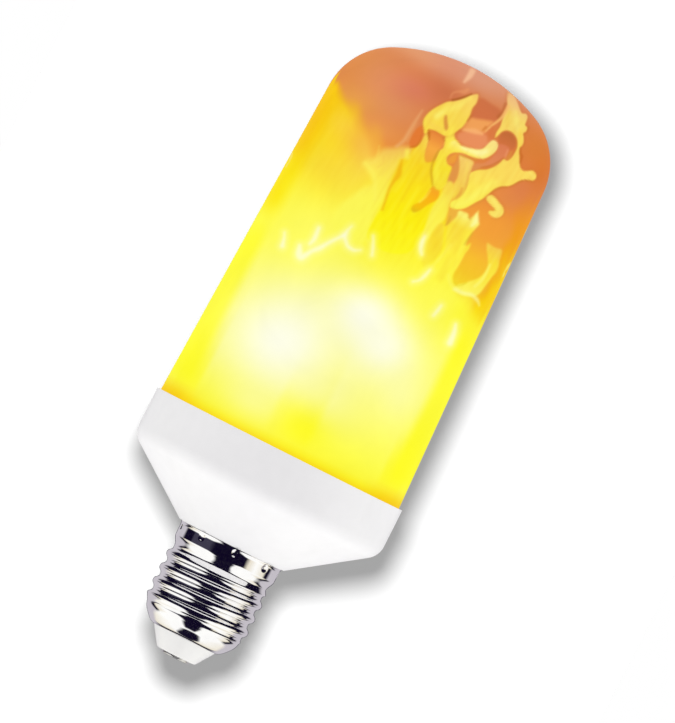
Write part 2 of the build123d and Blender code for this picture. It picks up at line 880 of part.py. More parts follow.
pieces = {
    "centre_contact": centre_contact_part(),
    "tip_insulator": tip_insulator_part(),
    "screw_shell": screw_shell_part(),
    "base_housing": base_housing_part(),
    "diffuser_cover": diffuser_cover_part(),
    "driver_board": driver_board_part(all_lead_places),
    "core_former": core_former_part(),
    "core_top_cap": core_top_cap_part(),
    "core_screw": core_screw_part(),
    "input_capacitor": capacitor_part(
        input_capacitor_at, input_capacitor_radius, input_capacitor_height, capacitor_places[0]
    ),
    "output_capacitor": capacitor_part(
        output_capacitor_at, output_capacitor_radius, output_capacitor_height, capacitor_places[1]
    ),
    "choke": choke_part(choke_places),
    "bridge_rectifier": rectifier_part(rectifier_places),
    "fusible_resistor": fusible_resistor_part(resistor_places),
    "driver_chip": chip_part(driver_chip_at, driver_chip_size, driver_chip_pins),
    "flame_controller": chip_part(controller_at, controller_size, controller_pins),
    "row_switches": row_switches_part(),
    "live_wire": wire_part(live_wire_points()),
    "neutral_wire": wire_part(neutral_wire_points()),
}
for panel_index in range(panel_count):
    pieces[f"led_panel_{panel_index + 1}"] = led_panel_part(panel_index)
    pieces[f"leds_{panel_index + 1}"] = leds_part(panel_index)

for name, piece in pieces.items():
    piece.part.label = name
    export_step(piece.part, f"parts/{name}.step")
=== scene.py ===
import math

import bpy
import numpy as np
from mathutils import Matrix, Vector


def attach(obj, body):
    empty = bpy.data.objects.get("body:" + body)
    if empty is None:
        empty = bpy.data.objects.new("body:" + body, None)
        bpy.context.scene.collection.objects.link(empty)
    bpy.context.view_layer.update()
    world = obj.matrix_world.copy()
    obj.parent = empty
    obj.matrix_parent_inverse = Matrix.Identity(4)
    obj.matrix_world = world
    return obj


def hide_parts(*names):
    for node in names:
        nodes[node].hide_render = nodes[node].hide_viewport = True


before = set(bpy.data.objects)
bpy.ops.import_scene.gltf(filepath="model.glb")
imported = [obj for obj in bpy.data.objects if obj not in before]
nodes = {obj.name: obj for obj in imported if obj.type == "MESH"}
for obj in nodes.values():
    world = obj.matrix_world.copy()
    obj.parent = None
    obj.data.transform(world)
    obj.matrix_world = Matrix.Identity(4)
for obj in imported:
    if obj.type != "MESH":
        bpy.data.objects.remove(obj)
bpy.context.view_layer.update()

MM = 0.001

# Sizes in millimetres. They are those of the solids, except that the shell's bell, its blend into the
# skirt, its lip and its dimples are softer here.
RIM_TOP = 55.712
COVER_TOP = 157.512
COVER_BASE_RADIUS = 31.7
COVER_WALL = 1.3
COVER_DRAFT = math.radians(2.16)
CROWN_DROP = 10.1
DOME_CORNER_RADIUS = 17.0
COVER_FOOT = RIM_TOP - 5.0

SHEET = 0.3
MOUTH_RADIUS = 8.2
MOUTH_HEIGHT = 5.2
BELL_SLOPE = 0.86
BELL_SWELL = 0.95
BELL_SWELL_HEIGHT = 0.36
BELL_BLEND = 1.15
CREST_RADIUS = 13.1
ROOT_RADIUS = 12.13
PITCH = 3.629
THREAD_START = 9.657
THREAD_LENGTH = 14.455
THREAD_END = THREAD_START + THREAD_LENGTH
THREAD_PHASE = math.radians(51.4)
THREAD_RAMP = 2.2
RAMP_OVERSHOOT = 0.25
RAMP_BLEND = 0.18
CORE_RADIUS = ROOT_RADIUS + 0.03
CORE_BLEND = 0.06
SKIRT_START = THREAD_END - 0.1
SKIRT_BLEND = 2.6
SHELL_TOP = THREAD_START + THREAD_LENGTH + 6.1
LIP_HEIGHT = 1.2
LIP_FLARE = 0.35
LIP_TURN = 0.4
LIP_TURN_DEPTH = 0.2
DIMPLE_COUNT = 9
DIMPLE_FIRST = math.radians(277.0)
DIMPLE_RADIUS = 1.5
DIMPLE_DEPTH = 0.3
DIMPLE_HEIGHT = SHELL_TOP - 1.5
DIMPLE_BLEND = 0.16

# Camera: the picture's middle in the plane of the axis, its tilt, and the height of that plane in view
VIEW_X = 2.87
VIEW_Z = 80.48
VIEW_TILT = math.radians(26.75)
VIEW_HEIGHT = 172.14
LENS = 800.0
SENSOR = 36.0
CAMERA_DISTANCE = LENS * VIEW_HEIGHT / SENSOR


# ---------------------------------------------------------------- small helpers


def smooth(low, high, value):
    share = np.clip((value - low) / (high - low), 0.0, 1.0)
    return share * share * (3 - 2 * share)


def soft_min(a, b, width):
    share = np.clip(0.5 + 0.5 * (b - a) / width, 0.0, 1.0)
    return b + (a - b) * share - width * share * (1 - share)


def soft_max(a, b, width):
    return -soft_min(-a, -b, width)


def to_linear(colour):
    colour = np.asarray(colour, float) / 255
    return np.where(colour <= 0.04045, colour / 12.92, ((colour + 0.055) / 1.055) ** 2.4)


def rgba(red, green, blue):
    return (*[float(v) for v in to_linear((red, green, blue))], 1.0)


def new_object(name, vertices, faces):
    mesh = bpy.data.meshes.new(name)
    mesh.from_pydata(vertices.tolist(), [], faces)
    mesh.update()
    mesh.polygons.foreach_set("use_smooth", [True] * len(mesh.polygons))
    piece = bpy.data.objects.new(name, mesh)
    bpy.context.scene.collection.objects.link(piece)
    return piece


def ring_faces(rings, columns, first=0):
    """Quads between neighbouring rings of a grid whose columns go round."""
    faces = []
    for i in range(rings - 1):
        low = first + i * columns
        high = low + columns
        for j in range(columns):
            k = (j + 1) % columns
            faces.append((low + j, low + k, high + k, high + j))
    return faces


class Nodes:
    """Builds a node tree with short calls."""

    def __init__(self, tree):
        self.tree = tree
        tree.nodes.clear()

    def add(self, kind, **settings):
        node = self.tree.nodes.new(kind)
        for key, value in settings.items():
            setattr(node, key, value)
        return node

    def link(self, source, target):
        self.tree.links.new(source, target)

    def fill(self, sockets, values):
        """Gives each socket its value, or joins it to the output given in its place."""
        for socket, value in zip(sockets, values):
            if isinstance(value, (int, float, tuple)):
                socket.default_value = value
            elif value is not None:
                self.link(value, socket)

    def math(self, operation, a, b=None, clamp=False):
        node = self.add("ShaderNodeMath", operation=operation, use_clamp=clamp)
        self.fill(node.inputs, (a, b))
        return node.outputs[0]

    def mix(self, factor, a, b, blend_type="MIX"):
        node = self.add("ShaderNodeMix", data_type="RGBA", blend_type=blend_type)
        self.fill((node.inputs[0], node.inputs[6], node.inputs[7]), (factor, a, b))
        return node.outputs[2]

    def mix_shader(self, factor, a, b):
        node = self.add("ShaderNodeMixShader")
        self.fill(node.inputs, (factor, a, b))
        return node.outputs[0]

    def background(self, colour, strength=1.0):
        node = self.add("ShaderNodeBackground")
        self.fill(node.inputs, (colour, strength))
        return node.outputs[0]

    def noise(self, scale, detail, roughness, vector, distortion=0.0):
        node = self.add("ShaderNodeTexNoise")
        node.inputs["Scale"].default_value = scale
        node.inputs["Detail"].default_value = detail
        node.inputs["Roughness"].default_value = roughness
        node.inputs["Distortion"].default_value = distortion
        self.link(vector, node.inputs["Vector"])
        return node.outputs["Fac"]

    def ramp(self, source, stops):
        node = self.add("ShaderNodeValToRGB")
        ramp = node.color_ramp
        while len(ramp.elements) > 1:
            ramp.elements.remove(ramp.elements[-1])
        ramp.elements[0].position = stops[0][0]
        ramp.elements[0].color = stops[0][1]
        for place, colour in stops[1:]:
            ramp.elements.new(place).color = colour
        self.link(source, node.inputs[0])
        return node.outputs[0]

    def spread(self, source, low, high):
        """Turns the middle half of a noise into the range from low to high."""
        node = self.add("ShaderNodeMapRange")
        node.inputs["From Min"].default_value = 0.3
        node.inputs["From Max"].default_value = 0.7
        node.inputs["To Min"].default_value = low
        node.inputs["To Max"].default_value = high
        self.link(source, node.inputs["Value"])
        return node.outputs[0]

    def bump(self, height, strength, distance):
        node = self.add("ShaderNodeBump")
        node.inputs["Strength"].default_value = strength
        node.inputs["Distance"].default_value = distance
        self.link(height, node.inputs["Height"])
        return node.outputs[0]


def new_material(name):
    """A material with a principled shader, its node builder and the places on the object."""
    material = bpy.data.materials.new(name)
    material.use_nodes = True
    n = Nodes(material.node_tree)
    output = n.add("ShaderNodeOutputMaterial")
    shader = n.add("ShaderNodeBsdfPrincipled")
    n.link(shader.outputs[0], output.inputs["Surface"])
    return material, n, shader, n.add("ShaderNodeTexCoord").outputs["Object"]


def plain_material(
    name, dark, light, roughness, metallic=0.0, grain=900.0, bump=0.05, specular=0.5, coat=0.0
):
    """Painted or moulded surface: colour wanders between two tones, roughness and bump come from noise."""
    material, n, shader, place = new_material(name)
    clouds = n.noise(grain * 0.12, 4.0, 0.55, place)
    fine = n.noise(grain, 2.0, 0.5, place)
    both = n.math("ADD", n.math("MULTIPLY", clouds, 0.7), n.math("MULTIPLY", fine, 0.3))
    n.link(n.ramp(both, [(0.32, dark), (0.68, light)]), shader.inputs["Base Color"])
    n.link(n.spread(fine, *roughness), shader.inputs["Roughness"])
    shader.inputs["Metallic"].default_value = metallic
    shader.inputs["Specular IOR Level"].default_value = specular
    shader.inputs["Coat Weight"].default_value = coat
    relief = n.noise(2500.0, 2.0, 0.5, place)
    n.link(n.bump(relief, bump, 0.0001), shader.inputs["Normal"])
    return material


# ---------------------------------------------------------------- camera, floor, light

scene = bpy.context.scene
scene.view_settings.view_transform = "Standard"

camera_data = bpy.data.cameras.new("camera")
camera_data.lens = LENS
camera_data.sensor_width = SENSOR
camera_data.sensor_fit = "AUTO"
camera_data.clip_start = 0.01
camera_data.clip_end = 100.0
camera = bpy.data.objects.new("camera", camera_data)
scene.collection.objects.link(camera)
right = Vector((math.cos(VIEW_TILT), 0, math.sin(VIEW_TILT)))
up = Vector((-math.sin(VIEW_TILT), 0, math.cos(VIEW_TILT)))
place = Vector((VIEW_X, -CAMERA_DISTANCE, VIEW_Z)) * MM
turn = Matrix((right, up, Vector((0, -1, 0)))).transposed().to_4x4()
camera.matrix_world = Matrix.Translation(place) @ turn
scene.camera = camera

# The lamp lies on this floor in the photograph: in the part's frame it stands behind the housing.
FLOOR_DISTANCE = 33.4
FLOOR_LEFT, FLOOR_RIGHT = -92.0, 98.0
FLOOR_FOOT, FLOOR_TOP = -42.0, 202.0
# The floor's own even light is the tone of the deepest shadow, and the shadow light adds the rest
SHADOW_LEVEL = 0.325
FLOOR_ALBEDO = 0.06

floor_outline = [
    (FLOOR_LEFT, FLOOR_FOOT), (FLOOR_RIGHT, FLOOR_FOOT), (FLOOR_RIGHT, FLOOR_TOP), (FLOOR_LEFT, FLOOR_TOP),
]
floor_corners = np.array([(x, FLOOR_DISTANCE, z) for x, z in floor_outline]) * MM
floor = new_object("floor", floor_corners, [(0, 1, 2, 3)])
floor.visible_diffuse = False
floor.visible_glossy = False
floor.visible_transmission = False
floor.visible_shadow = False

floor_material = bpy.data.materials.new("floor_white")
floor_material.use_nodes = True
n = Nodes(floor_material.node_tree)
out = n.add("ShaderNodeOutputMaterial")
matt = n.add("ShaderNodeBsdfDiffuse")
matt.inputs["Color"].default_value = (FLOOR_ALBEDO, FLOOR_ALBEDO, FLOOR_ALBEDO, 1)
glow = n.add("ShaderNodeEmission")
path = n.add("ShaderNodeLightPath")
seen = n.math(
    "MAXIMUM",
    path.outputs["Is Camera Ray"],
    n.math("MAXIMUM", path.outputs["Is Glossy Ray"], path.outputs["Is Transmission Ray"]),
)
n.link(n.math("MULTIPLY", seen, SHADOW_LEVEL), glow.inputs["Strength"])
both = n.add("ShaderNodeAddShader")
n.link(matt.outputs[0], both.inputs[0])
n.link(glow.outputs[0], both.inputs[1])
clear = n.add("ShaderNodeBsdfTransparent")
backfacing = n.add("ShaderNodeNewGeometry").outputs["Backfacing"]
n.link(n.mix_shader(backfacing, both.outputs[0], clear.outputs[0]), out.inputs["Surface"])
floor.data.materials.append(floor_material)

# One round light, square to the floor, throws the lamp's shadow on it and lights nothing else
SHADOW_LIGHT_X = -52.0
SHADOW_LIGHT_Z = 136.0
SHADOW_LIGHT_DISTANCE = 676.0
SHADOW_LIGHT_SIZE = 125.0
SHADOW_LIGHT_POWER = 57.0

light_data = bpy.data.lights.new("shadow_light", "AREA")
light_data.shape = "DISK"
light_data.size = SHADOW_LIGHT_SIZE * MM
light_data.energy = SHADOW_LIGHT_POWER
light = bpy.data.objects.new("shadow_light", light_data)
scene.collection.objects.link(light)
light.location = Vector((SHADOW_LIGHT_X, FLOOR_DISTANCE - SHADOW_LIGHT_DISTANCE, SHADOW_LIGHT_Z)) * MM
light.rotation_mode = "QUATERNION"
light.rotation_quaternion = Vector((0, 1, 0)).to_track_quat("-Z", "Y")
light.visible_camera = False
light.visible_glossy = False
light.visible_transmission = False
lit = bpy.data.collections.new("shadow_light_lit")
light.light_linking.receiver_collection = lit
lit.objects.link(floor)
lit.collection_objects[0].light_linking.link_state = "INCLUDE"

world = bpy.data.worlds.new("studio")
scene.world = world
world.use_nodes = True
n = Nodes(world.node_tree)
out = n.add("ShaderNodeOutputWorld")
direction = n.add("ShaderNodeTexCoord").outputs["Generated"]
axes = n.add("ShaderNodeSeparateXYZ")
n.link(direction, axes.inputs[0])
sideways = axes.outputs[0]
ahead = n.math("MULTIPLY", axes.outputs[1], -1.0)
turned = n.math("ARCTAN2", sideways, ahead)
azimuth = n.math("ADD", n.math("DIVIDE", turned, 2 * math.pi), 0.5)
height = axes.outputs[2]

NAVY = (0.004, 0.002, 0.016, 1)
NIGHT = (0.012, 0.009, 0.03, 1)
CREAM = (0.86, 0.80, 0.66, 1)
WHITE = (1.05, 1.05, 1.03, 1)
PEARL = (0.58, 0.55, 0.60, 1)
DUSK = (0.05, 0.045, 0.075, 1)
BEIGE = (0.66, 0.62, 0.50, 1)


def studio_ramp(stops, around=azimuth):
    """A ring of studio panels: the stops are angles from the front, in degrees, and their colours."""
    return n.ramp(around, [((angle + 180) / 360, colour) for angle, colour in stops])


def both_sides(stops):
    """The same panels on the left as on the right."""
    return [(-angle, colour) for angle, colour in reversed(stops)] + stops


def past(value, start, slope):
    """Rises from 0 to 1 once the value has passed the start."""
    return n.math("MULTIPLY", n.math("SUBTRACT", value, start), slope, clamp=True)


# The low panels have rounded ends: their inner edges draw in towards the horizon
PANEL_DRAW_IN = 0.055
offset = n.math("SUBTRACT", azimuth, 0.5)
narrowing = n.math("MULTIPLY", n.math("ADD", height, 0.5), 2.5, clamp=True)
drawn_in = n.math("SUBTRACT", n.math("ABSOLUTE", offset), n.math("MULTIPLY", narrowing, PANEL_DRAW_IN))
drawn_in = n.math("MAXIMUM", drawn_in, 0.0)
low_azimuth = n.math("ADD", 0.5, n.math("MULTIPLY", n.math("SIGN", offset), drawn_in))

BACK_LEFT = [(-180, NIGHT), (-170, NIGHT), (-162, PEARL), (-120, PEARL), (-113, NAVY)]
BACK_RIGHT = [(105, NAVY), (113, NAVY), (121, PEARL), (162, PEARL), (170, NIGHT), (180, NIGHT)]
low_front = [
    (-104, NAVY), (-98, CREAM), (-70, WHITE), (-26, WHITE), (-16, NAVY), (20, NAVY), (28, WHITE), (70, WHITE),
    (98, CREAM),
]
level_front = [
    (-88, NAVY), (-84, DUSK), (-42, DUSK), (-30, NAVY), (44, NAVY), (52, CREAM), (70, WHITE), (98, CREAM),
]
low_panels = studio_ramp(BACK_LEFT + low_front + BACK_RIGHT, low_azimuth)
level_panels = studio_ramp(BACK_LEFT + level_front + BACK_RIGHT)
high_panels = studio_ramp(both_sides([(128, NAVY), (142, PEARL), (180, PEARL)]))
top_panels = studio_ramp(both_sides([(100, NAVY), (120, BEIGE), (180, BEIGE)]))
deep_panels = studio_ramp(
    [
        (-180, NAVY), (-158, NAVY), (-152, CREAM), (-100, WHITE), (-30, WHITE), (-20, NAVY), (24, NAVY),
        (32, WHITE), (100, WHITE), (152, CREAM), (158, NAVY), (180, NAVY),
    ]
)

# Heights, as the sine of the angle above the horizon, at which one ring of panels gives way to the next
HIGH_RING, TOP_RING = 0.10, 0.8
LOW_RING, DEEP_RING, UNDER_RING = -0.10, -0.50, -0.93
panels = n.mix(past(height, HIGH_RING, 12.0), level_panels, high_panels)
panels = n.mix(past(LOW_RING, height, 9.0), panels, low_panels)
panels = n.mix(past(height, TOP_RING, 12.0), panels, top_panels)
panels = n.mix(past(DEEP_RING, height, 9.0), panels, deep_panels)
panels = n.mix(past(UNDER_RING, height, 30.0), panels, WHITE)
# A dark spot almost straight below
SPOT_EDGE = 0.952
spot = n.add("ShaderNodeVectorMath", operation="DOT_PRODUCT")
n.link(direction, spot.inputs[0])
spot.inputs[1].default_value = Vector((0.05, 0.06, -1)).normalized()
panels = n.mix(past(spot.outputs["Value"], SPOT_EDGE, 50.0), panels, NAVY)

# Soft room light: one level, less what each direction takes from it
ROOM_LEVEL = 1.28
FROM_FRONT, FROM_BEHIND, FROM_BESIDE = -0.62, -0.50, -0.16
FROM_ABOVE, FROM_RIGHT = -0.24, 0.06
front = n.math("MAXIMUM", ahead, 0.0)
behind = n.math("MAXIMUM", n.math("MULTIPLY", ahead, -1.0), 0.0)
beside = n.math("ABSOLUTE", sideways)
dim = n.math("MULTIPLY", n.math("POWER", front, 1.5), FROM_FRONT)
dim = n.math("ADD", dim, n.math("MULTIPLY", n.math("POWER", behind, 1.5), FROM_BEHIND))
dim = n.math("ADD", dim, n.math("MULTIPLY", n.math("POWER", beside, 3.0), FROM_BESIDE))
lift = n.math("ADD", n.math("MULTIPLY", height, FROM_ABOVE), n.math("MULTIPLY", sideways, FROM_RIGHT))
room = n.math("ADD", n.math("ADD", ROOM_LEVEL, dim), lift)
room_colour = n.mix(front, (1, 1, 1, 1), (0.985, 0.965, 1.0, 1))

# Glossy rays see the panels, other light is the room's, and the camera sees plain white
path = n.add("ShaderNodeLightPath")
lights = n.mix_shader(path.outputs["Is Glossy Ray"], n.background(room_colour, room), n.background(panels))
direct = n.math("MAXIMUM", path.outputs["Is Camera Ray"], path.outputs["Is Transmission Ray"])
n.link(n.mix_shader(direct, lights, n.background((1, 1, 1, 1))), out.inputs["Surface"])


# ---------------------------------------------------------------- the flame picture on the cover

# The picture is a set of soft closed shapes and brush lines, laid over one another from the back to the
# front. Places are (x, height) in millimetres as seen from the front; a brush line also has half widths.
# A tone is one colour, or a list of (height, colour).
GOLD = [
    (108, (255, 250, 92)), (120, (254, 240, 70)), (132, (252, 226, 62)), (146, (252, 222, 84)),
    (157, (247, 200, 120)),
]
DEEP = [
    (108, (255, 251, 36)), (118, (254, 240, 16)), (125, (253, 228, 24)), (131, (250, 216, 38)),
    (138, (250, 218, 84)),
]
VEIL = [
    (110, (255, 252, 90)), (118, (255, 250, 92)), (124, (253, 238, 88)), (129, (249, 218, 92)),
    (134, (244, 192, 98)),
]

# Closed shapes: (softness of the edge, strength, tone, outline)
SHAPES = {
    "left_veil": (1.0, 0.8, VEIL, [
        (-5.4, 133.6), (-6.6, 133.2), (-8, 132), (-9.6, 131), (-10.4, 129.8), (-10.8, 128), (-12.2, 126.6),
        (-13, 125.3), (-11.4, 124.2), (-9.8, 123.2), (-8.9, 122.1), (-9.9, 120.6), (-11.2, 118.6),
        (-12.2, 116.4), (-13.4, 114), (-13.4, 110), (-9, 107), (-4.5, 108), (-4.5, 113), (-4.7, 117),
        (-4.5, 120), (-4.9, 123), (-5.3, 126), (-5.2, 128.6), (-5.3, 130), (-4.2, 130.6), (-3.5, 132),
        (-4.0, 133.6), (-4.9, 134),
    ]),
    "centre": (0.35, 0.92, DEEP, [
        (-3.1, 138.6), (-2.4, 138.6), (-1.6, 137.6), (-1.2, 136), (-0.9, 134.4), (-0.3, 132.8),
        (0.8, 132.4), (1.8, 132.9), (2.7, 131), (3.7, 129.2), (4.3, 127.8), (4.2, 126), (3.7, 124.4),
        (3, 122.9), (2.1, 121.8), (2.2, 120.6), (3.2, 120.1), (4.4, 121.4), (5.4, 123.4), (6.5, 124.8),
        (7, 120), (7.2, 115), (6, 111), (1, 109), (-4, 110), (-4.6, 114), (-4.2, 118), (-4.1, 121),
        (-3.7, 123.4), (-3.5, 126), (-3.8, 128.2), (-4.9, 130.2), (-4.4, 131.8), (-3.8, 133.2), (-3.3, 135),
        (-3.1, 137),
    ]),
    "wedge": (0.4, 0.9, (230, 122, 50), [
        (-4.3, 139.7), (-3.5, 139.1), (-3.0, 137.9), (-2.9, 136.3), (-3.3, 134.9), (-4.0, 134.0),
        (-4.9, 133.9), (-5.5, 135), (-5.5, 137), (-5.1, 138.7),
    ]),
    "inner_orange": (0.35, 0.95, [
        (132, (240, 168, 52)), (136, (250, 172, 66)), (138.4, (238, 146, 62)), (140, (232, 134, 58)),
    ], [
        (-2.5, 139.7), (-1.1, 140.0), (0.5, 139.9), (1.7, 139.7), (2.1, 138.6), (1.9, 137.1), (1.6, 135.8),
        (1.7, 134.4), (1.6, 133.3), (0.9, 132.6), (0.1, 132.5), (-0.5, 133.5), (-0.9, 135.1), (-1.2, 136.7),
        (-1.7, 137.8),
    ]),
    "dark_block": (0.6, 0.85, (208, 112, 68), [
        (5.1, 151.9), (8, 151.7), (10.2, 151.4), (11.2, 150.6), (11.2, 149.6), (10.4, 148.4), (8.6, 147.7),
        (6.4, 147.1), (5.0, 146.4), (4.6, 147.6), (4.6, 149.4),
    ]),
    "peach": (0.6, 0.8, (246, 170, 92), [
        (4.7, 146.4), (6.6, 147.0), (8.8, 147.7), (10.2, 148), (9.6, 146.2), (9.6, 144.9), (8.4, 144.5),
        (6.8, 144.1), (5.2, 143.2), (4.2, 144),
    ]),
    "salmon_cup": (0.5, 0.8, (236, 148, 98), [
        (5.2, 143), (7, 144), (9, 144.5), (11, 144.4), (11.8, 143.4), (11.2, 142), (10.4, 140.9),
        (8.6, 140.4), (6.6, 140.1), (4.8, 140.6), (4.2, 141.8),
    ]),
    "leg": (0.3, 0.96, [
        (128, (248, 226, 58)), (133, (246, 226, 48)), (137, (252, 228, 74)), (143, (253, 232, 84)),
    ], [
        (1.3, 143.2), (2.4, 143.6), (3.5, 142.8), (3.3, 141.5), (3.9, 140.5), (5.2, 140), (6.2, 139.2),
        (6.2, 138.0), (5.3, 137.4), (4.5, 136.5), (4.3, 135.3), (5.2, 134.3), (6.3, 134), (6.8, 132.4),
        (7.0, 130.6), (6.8, 128.9), (6.0, 127.8), (4.8, 127.5), (4.1, 128.6), (3.3, 129.9), (2.7, 131.3),
        (2.3, 133), (2.1, 134.8), (2.1, 136.2), (2.5, 137.2), (2.3, 138.4), (1.8, 139.6), (1.4, 141),
    ]),
    "tall_lick": (0.32, 0.97, GOLD, [
        (4.2, 152.3), (3.0, 151.7), (2.2, 150.9), (1.4, 149.9), (0.4, 148.9), (-0.6, 148.1), (-1.6, 147.4),
        (-2.5, 146.3), (-3.3, 145.1), (-4.0, 143.9), (-4.5, 142.7), (-4.7, 141.4), (-4.4, 140.3),
        (-3.7, 139.2), (-3.1, 138.3), (-2.6, 138.8), (-2.3, 139.7), (-1.0, 140.1), (0.4, 140.0),
        (1.6, 140.0), (2.6, 140.8), (3.6, 142.4), (4.3, 143.6), (4.6, 145.2), (4.7, 147), (4.5, 148.8),
        (4.8, 150.4),
    ]),
    "slit": (0.3, 0.85, (218, 142, 62), [
        (-0.7, 144.3), (-0.2, 144.5), (0.5, 143.4), (1.3, 142.2), (1.3, 141.3), (0.7, 141.4), (0.0, 142.4),
        (-0.5, 143.4),
    ]),
    "brown_leaf": (0.35, 0.9, (224, 150, 72), [
        (6.9, 136.6), (7.7, 135.2), (8.3, 133.6), (8.5, 131.9), (8.2, 130.4), (7.3, 130.1), (6.8, 131.4),
        (6.6, 133.4),
    ]),
    "arm_side": (0.35, 0.95, [(128, (250, 222, 70)), (132, (244, 206, 86)), (137, (246, 208, 104))], [
        (6.6, 137.5), (8.2, 137.7), (10.4, 137.5), (10.8, 136), (11.2, 134.6), (11.6, 132.6), (11.8, 130.6),
        (11.6, 129), (11, 127.9), (10.2, 127.4), (9.6, 128.3), (9.2, 129.6), (8.6, 130.6), (8.7, 132.4),
        (8.2, 134.4), (7.4, 136),
    ]),
    "hook": (0.3, 0.96, [(138, (252, 230, 84)), (139.4, (254, 240, 120)), (144, (252, 232, 140))], [
        (4.2, 137.6), (5.6, 137.7), (7.2, 138.1), (9, 138.3), (11, 138.7), (12.4, 139.4), (13.3, 140.6),
        (13.9, 142), (14.0, 143.3), (13.4, 144.1), (12.4, 144.3), (11.8, 143.6), (11.4, 142.4),
        (10.9, 141.3), (10.0, 140.6), (8.6, 140.2), (7, 139.8), (5.6, 139.7), (4.2, 140), (3.4, 139),
    ]),
    "crown_and_arm": (0.3, 0.95, [
        (126, (254, 246, 84)), (131, (254, 238, 84)), (137, (252, 224, 92)), (146, (251, 220, 98)),
        (151, (250, 222, 104)), (154, (245, 200, 124)), (157, (240, 184, 130)),
    ], [
        (10.5, 156), (12.2, 155.7), (13.6, 154.6), (14.6, 153.7), (15.5, 153.1), (16.4, 153.4),
        (17.1, 152.9), (17.3, 151.9), (17.4, 150.9), (18.2, 150.5), (18.3, 149.6), (17.9, 148.9),
        (18.5, 147.9), (19.0, 146.7), (18.8, 145.3), (19.3, 144.1), (20.0, 142.7), (20.8, 141.4),
        (21.9, 140.9), (23, 141.4), (24, 142), (25.1, 141.6), (25.5, 140.7), (25.1, 139.9), (24.2, 139.6),
        (23.1, 139.2), (22.1, 138.2), (21.2, 136.9), (20.2, 136), (19, 135.3), (18.1, 134.3), (17.5, 133.3),
        (17.0, 132), (16.3, 130.6), (15.4, 129.4), (14.6, 128.2), (13.7, 127), (12.5, 126), (11.2, 125.3),
        (10.2, 125.6), (10, 126.8), (10.8, 127.8), (11.5, 129), (11.7, 130.8), (11.3, 132.8), (10.9, 134.6),
        (11.4, 135.6), (12.6, 136.6), (14, 137.4), (15.3, 138.7), (16.1, 140.2), (16.5, 141.3),
        (17.4, 141.3), (18.0, 142.2), (18.2, 143.8), (18.1, 145.4), (17.5, 146.7), (16.5, 147.6),
        (15.2, 148), (14, 147.8), (13.2, 147), (12.8, 145.8), (12.4, 145), (12.1, 146.2), (12.3, 147.8),
        (12.1, 149.4), (11.9, 150.8), (11.9, 152.2), (11.5, 153.4), (10.8, 154.6),
    ]),
    "hole": (0.4, 0.95, [(143.6, (214, 116, 66)), (147, (196, 108, 56))], [
        (13.2, 145.3), (13.4, 146.6), (14.3, 147.4), (15.6, 147.5), (16.8, 146.8), (17.6, 145.6),
        (17.5, 144.4), (16.8, 143.9), (15.6, 143.6), (14.4, 143.8), (13.6, 144.3),
    ]),
    "channel": (0.35, 0.93, [(136, (222, 146, 78)), (139, (228, 138, 88)), (144, (222, 126, 84))], [
        (14.1, 144), (16.4, 144.2), (16.7, 142.8), (16.3, 141.3), (15.6, 139.8), (14.6, 138.6),
        (13.2, 137.5), (12.0, 136.3), (11.0, 135.3), (10.7, 136.4), (11.1, 137.5), (12.4, 138.2),
        (13.3, 139.2), (13.9, 140.6), (14.3, 142.2),
    ]),
    "curl": (0.3, 0.95, (252, 228, 100), [
        (16.9, 131.5), (17.7, 132.4), (19, 132.2), (20.3, 131.6), (21.5, 131), (22.2, 130), (22.1, 129),
        (21.5, 128.2), (20.6, 127.8), (19.6, 127.9), (18.9, 128.3), (19.0, 128.9), (19.8, 129.3),
        (19.9, 129.7), (19.0, 130.0), (17.9, 130.4), (17.1, 130.9),
    ]),
    "straight": (0.45, 0.85, [
        (112, (255, 250, 100)), (118, (254, 246, 84)), (125, (253, 240, 84)), (131, (250, 226, 78)),
    ], [
        (7.2, 130.6), (8.2, 130.8), (9.2, 129.8), (9.9, 128), (9.8, 126), (10.2, 124.2), (10.4, 122.2),
        (9.8, 120.4), (9.3, 118.4), (9.0, 116.4), (9.2, 114.4), (9.9, 112.4), (8.8, 112.0), (7.9, 113.2),
        (7.4, 115), (7.2, 117.4), (6.8, 119.6), (6.5, 122), (6.6, 124.6), (7.0, 127), (7.0, 129),
    ]),
    "small_pocket": (0.35, 0.85, (241, 184, 66), [
        (10.8, 125.3), (12.4, 125.4), (12.7, 124.5), (12.4, 123.2), (11.9, 122), (11.4, 121.2),
        (11.0, 122.6), (10.7, 124),
    ]),
    "low_body": (0.4, 0.92, [
        (110, (255, 248, 70)), (116, (254, 240, 66)), (122, (252, 232, 62)), (125, (255, 246, 116)),
    ], [
        (12.6, 125.5), (13.8, 125.8), (14.8, 125.8), (15.5, 125.1), (15.9, 125.5), (16.3, 126.6),
        (16.7, 127.7), (17.2, 126.6), (17.7, 125.6), (18.4, 124.8), (18.1, 123.6), (17.7, 122.4),
        (17.5, 121), (17.5, 119.6), (17.9, 118.9), (18.6, 119.9), (18.8, 118.6), (18.5, 117.2),
        (18.5, 115.4), (18.3, 113.4), (18.1, 111.4), (18.6, 109.6), (16, 108), (12.6, 108.6), (12.3, 110),
        (12.9, 112), (13.5, 114), (13.5, 116), (12.9, 118), (12.2, 119.6), (11.8, 121.2), (12.3, 122.8),
        (12.7, 124.2),
    ]),
    "golden_pocket": (0.5, 0.75, [(110, (250, 232, 58)), (116, (247, 214, 50)), (121, (248, 216, 66))], [
        (9.7, 120.6), (10.7, 121), (11.5, 119.6), (12.3, 117.6), (13.0, 115.6), (12.9, 113.6),
        (12.1, 111.4), (11.1, 109.8), (10.2, 110.6), (9.8, 112.4), (9.3, 114.8), (9.2, 117), (9.3, 119),
    ]),
    "right_pocket": (0.45, 0.9, [
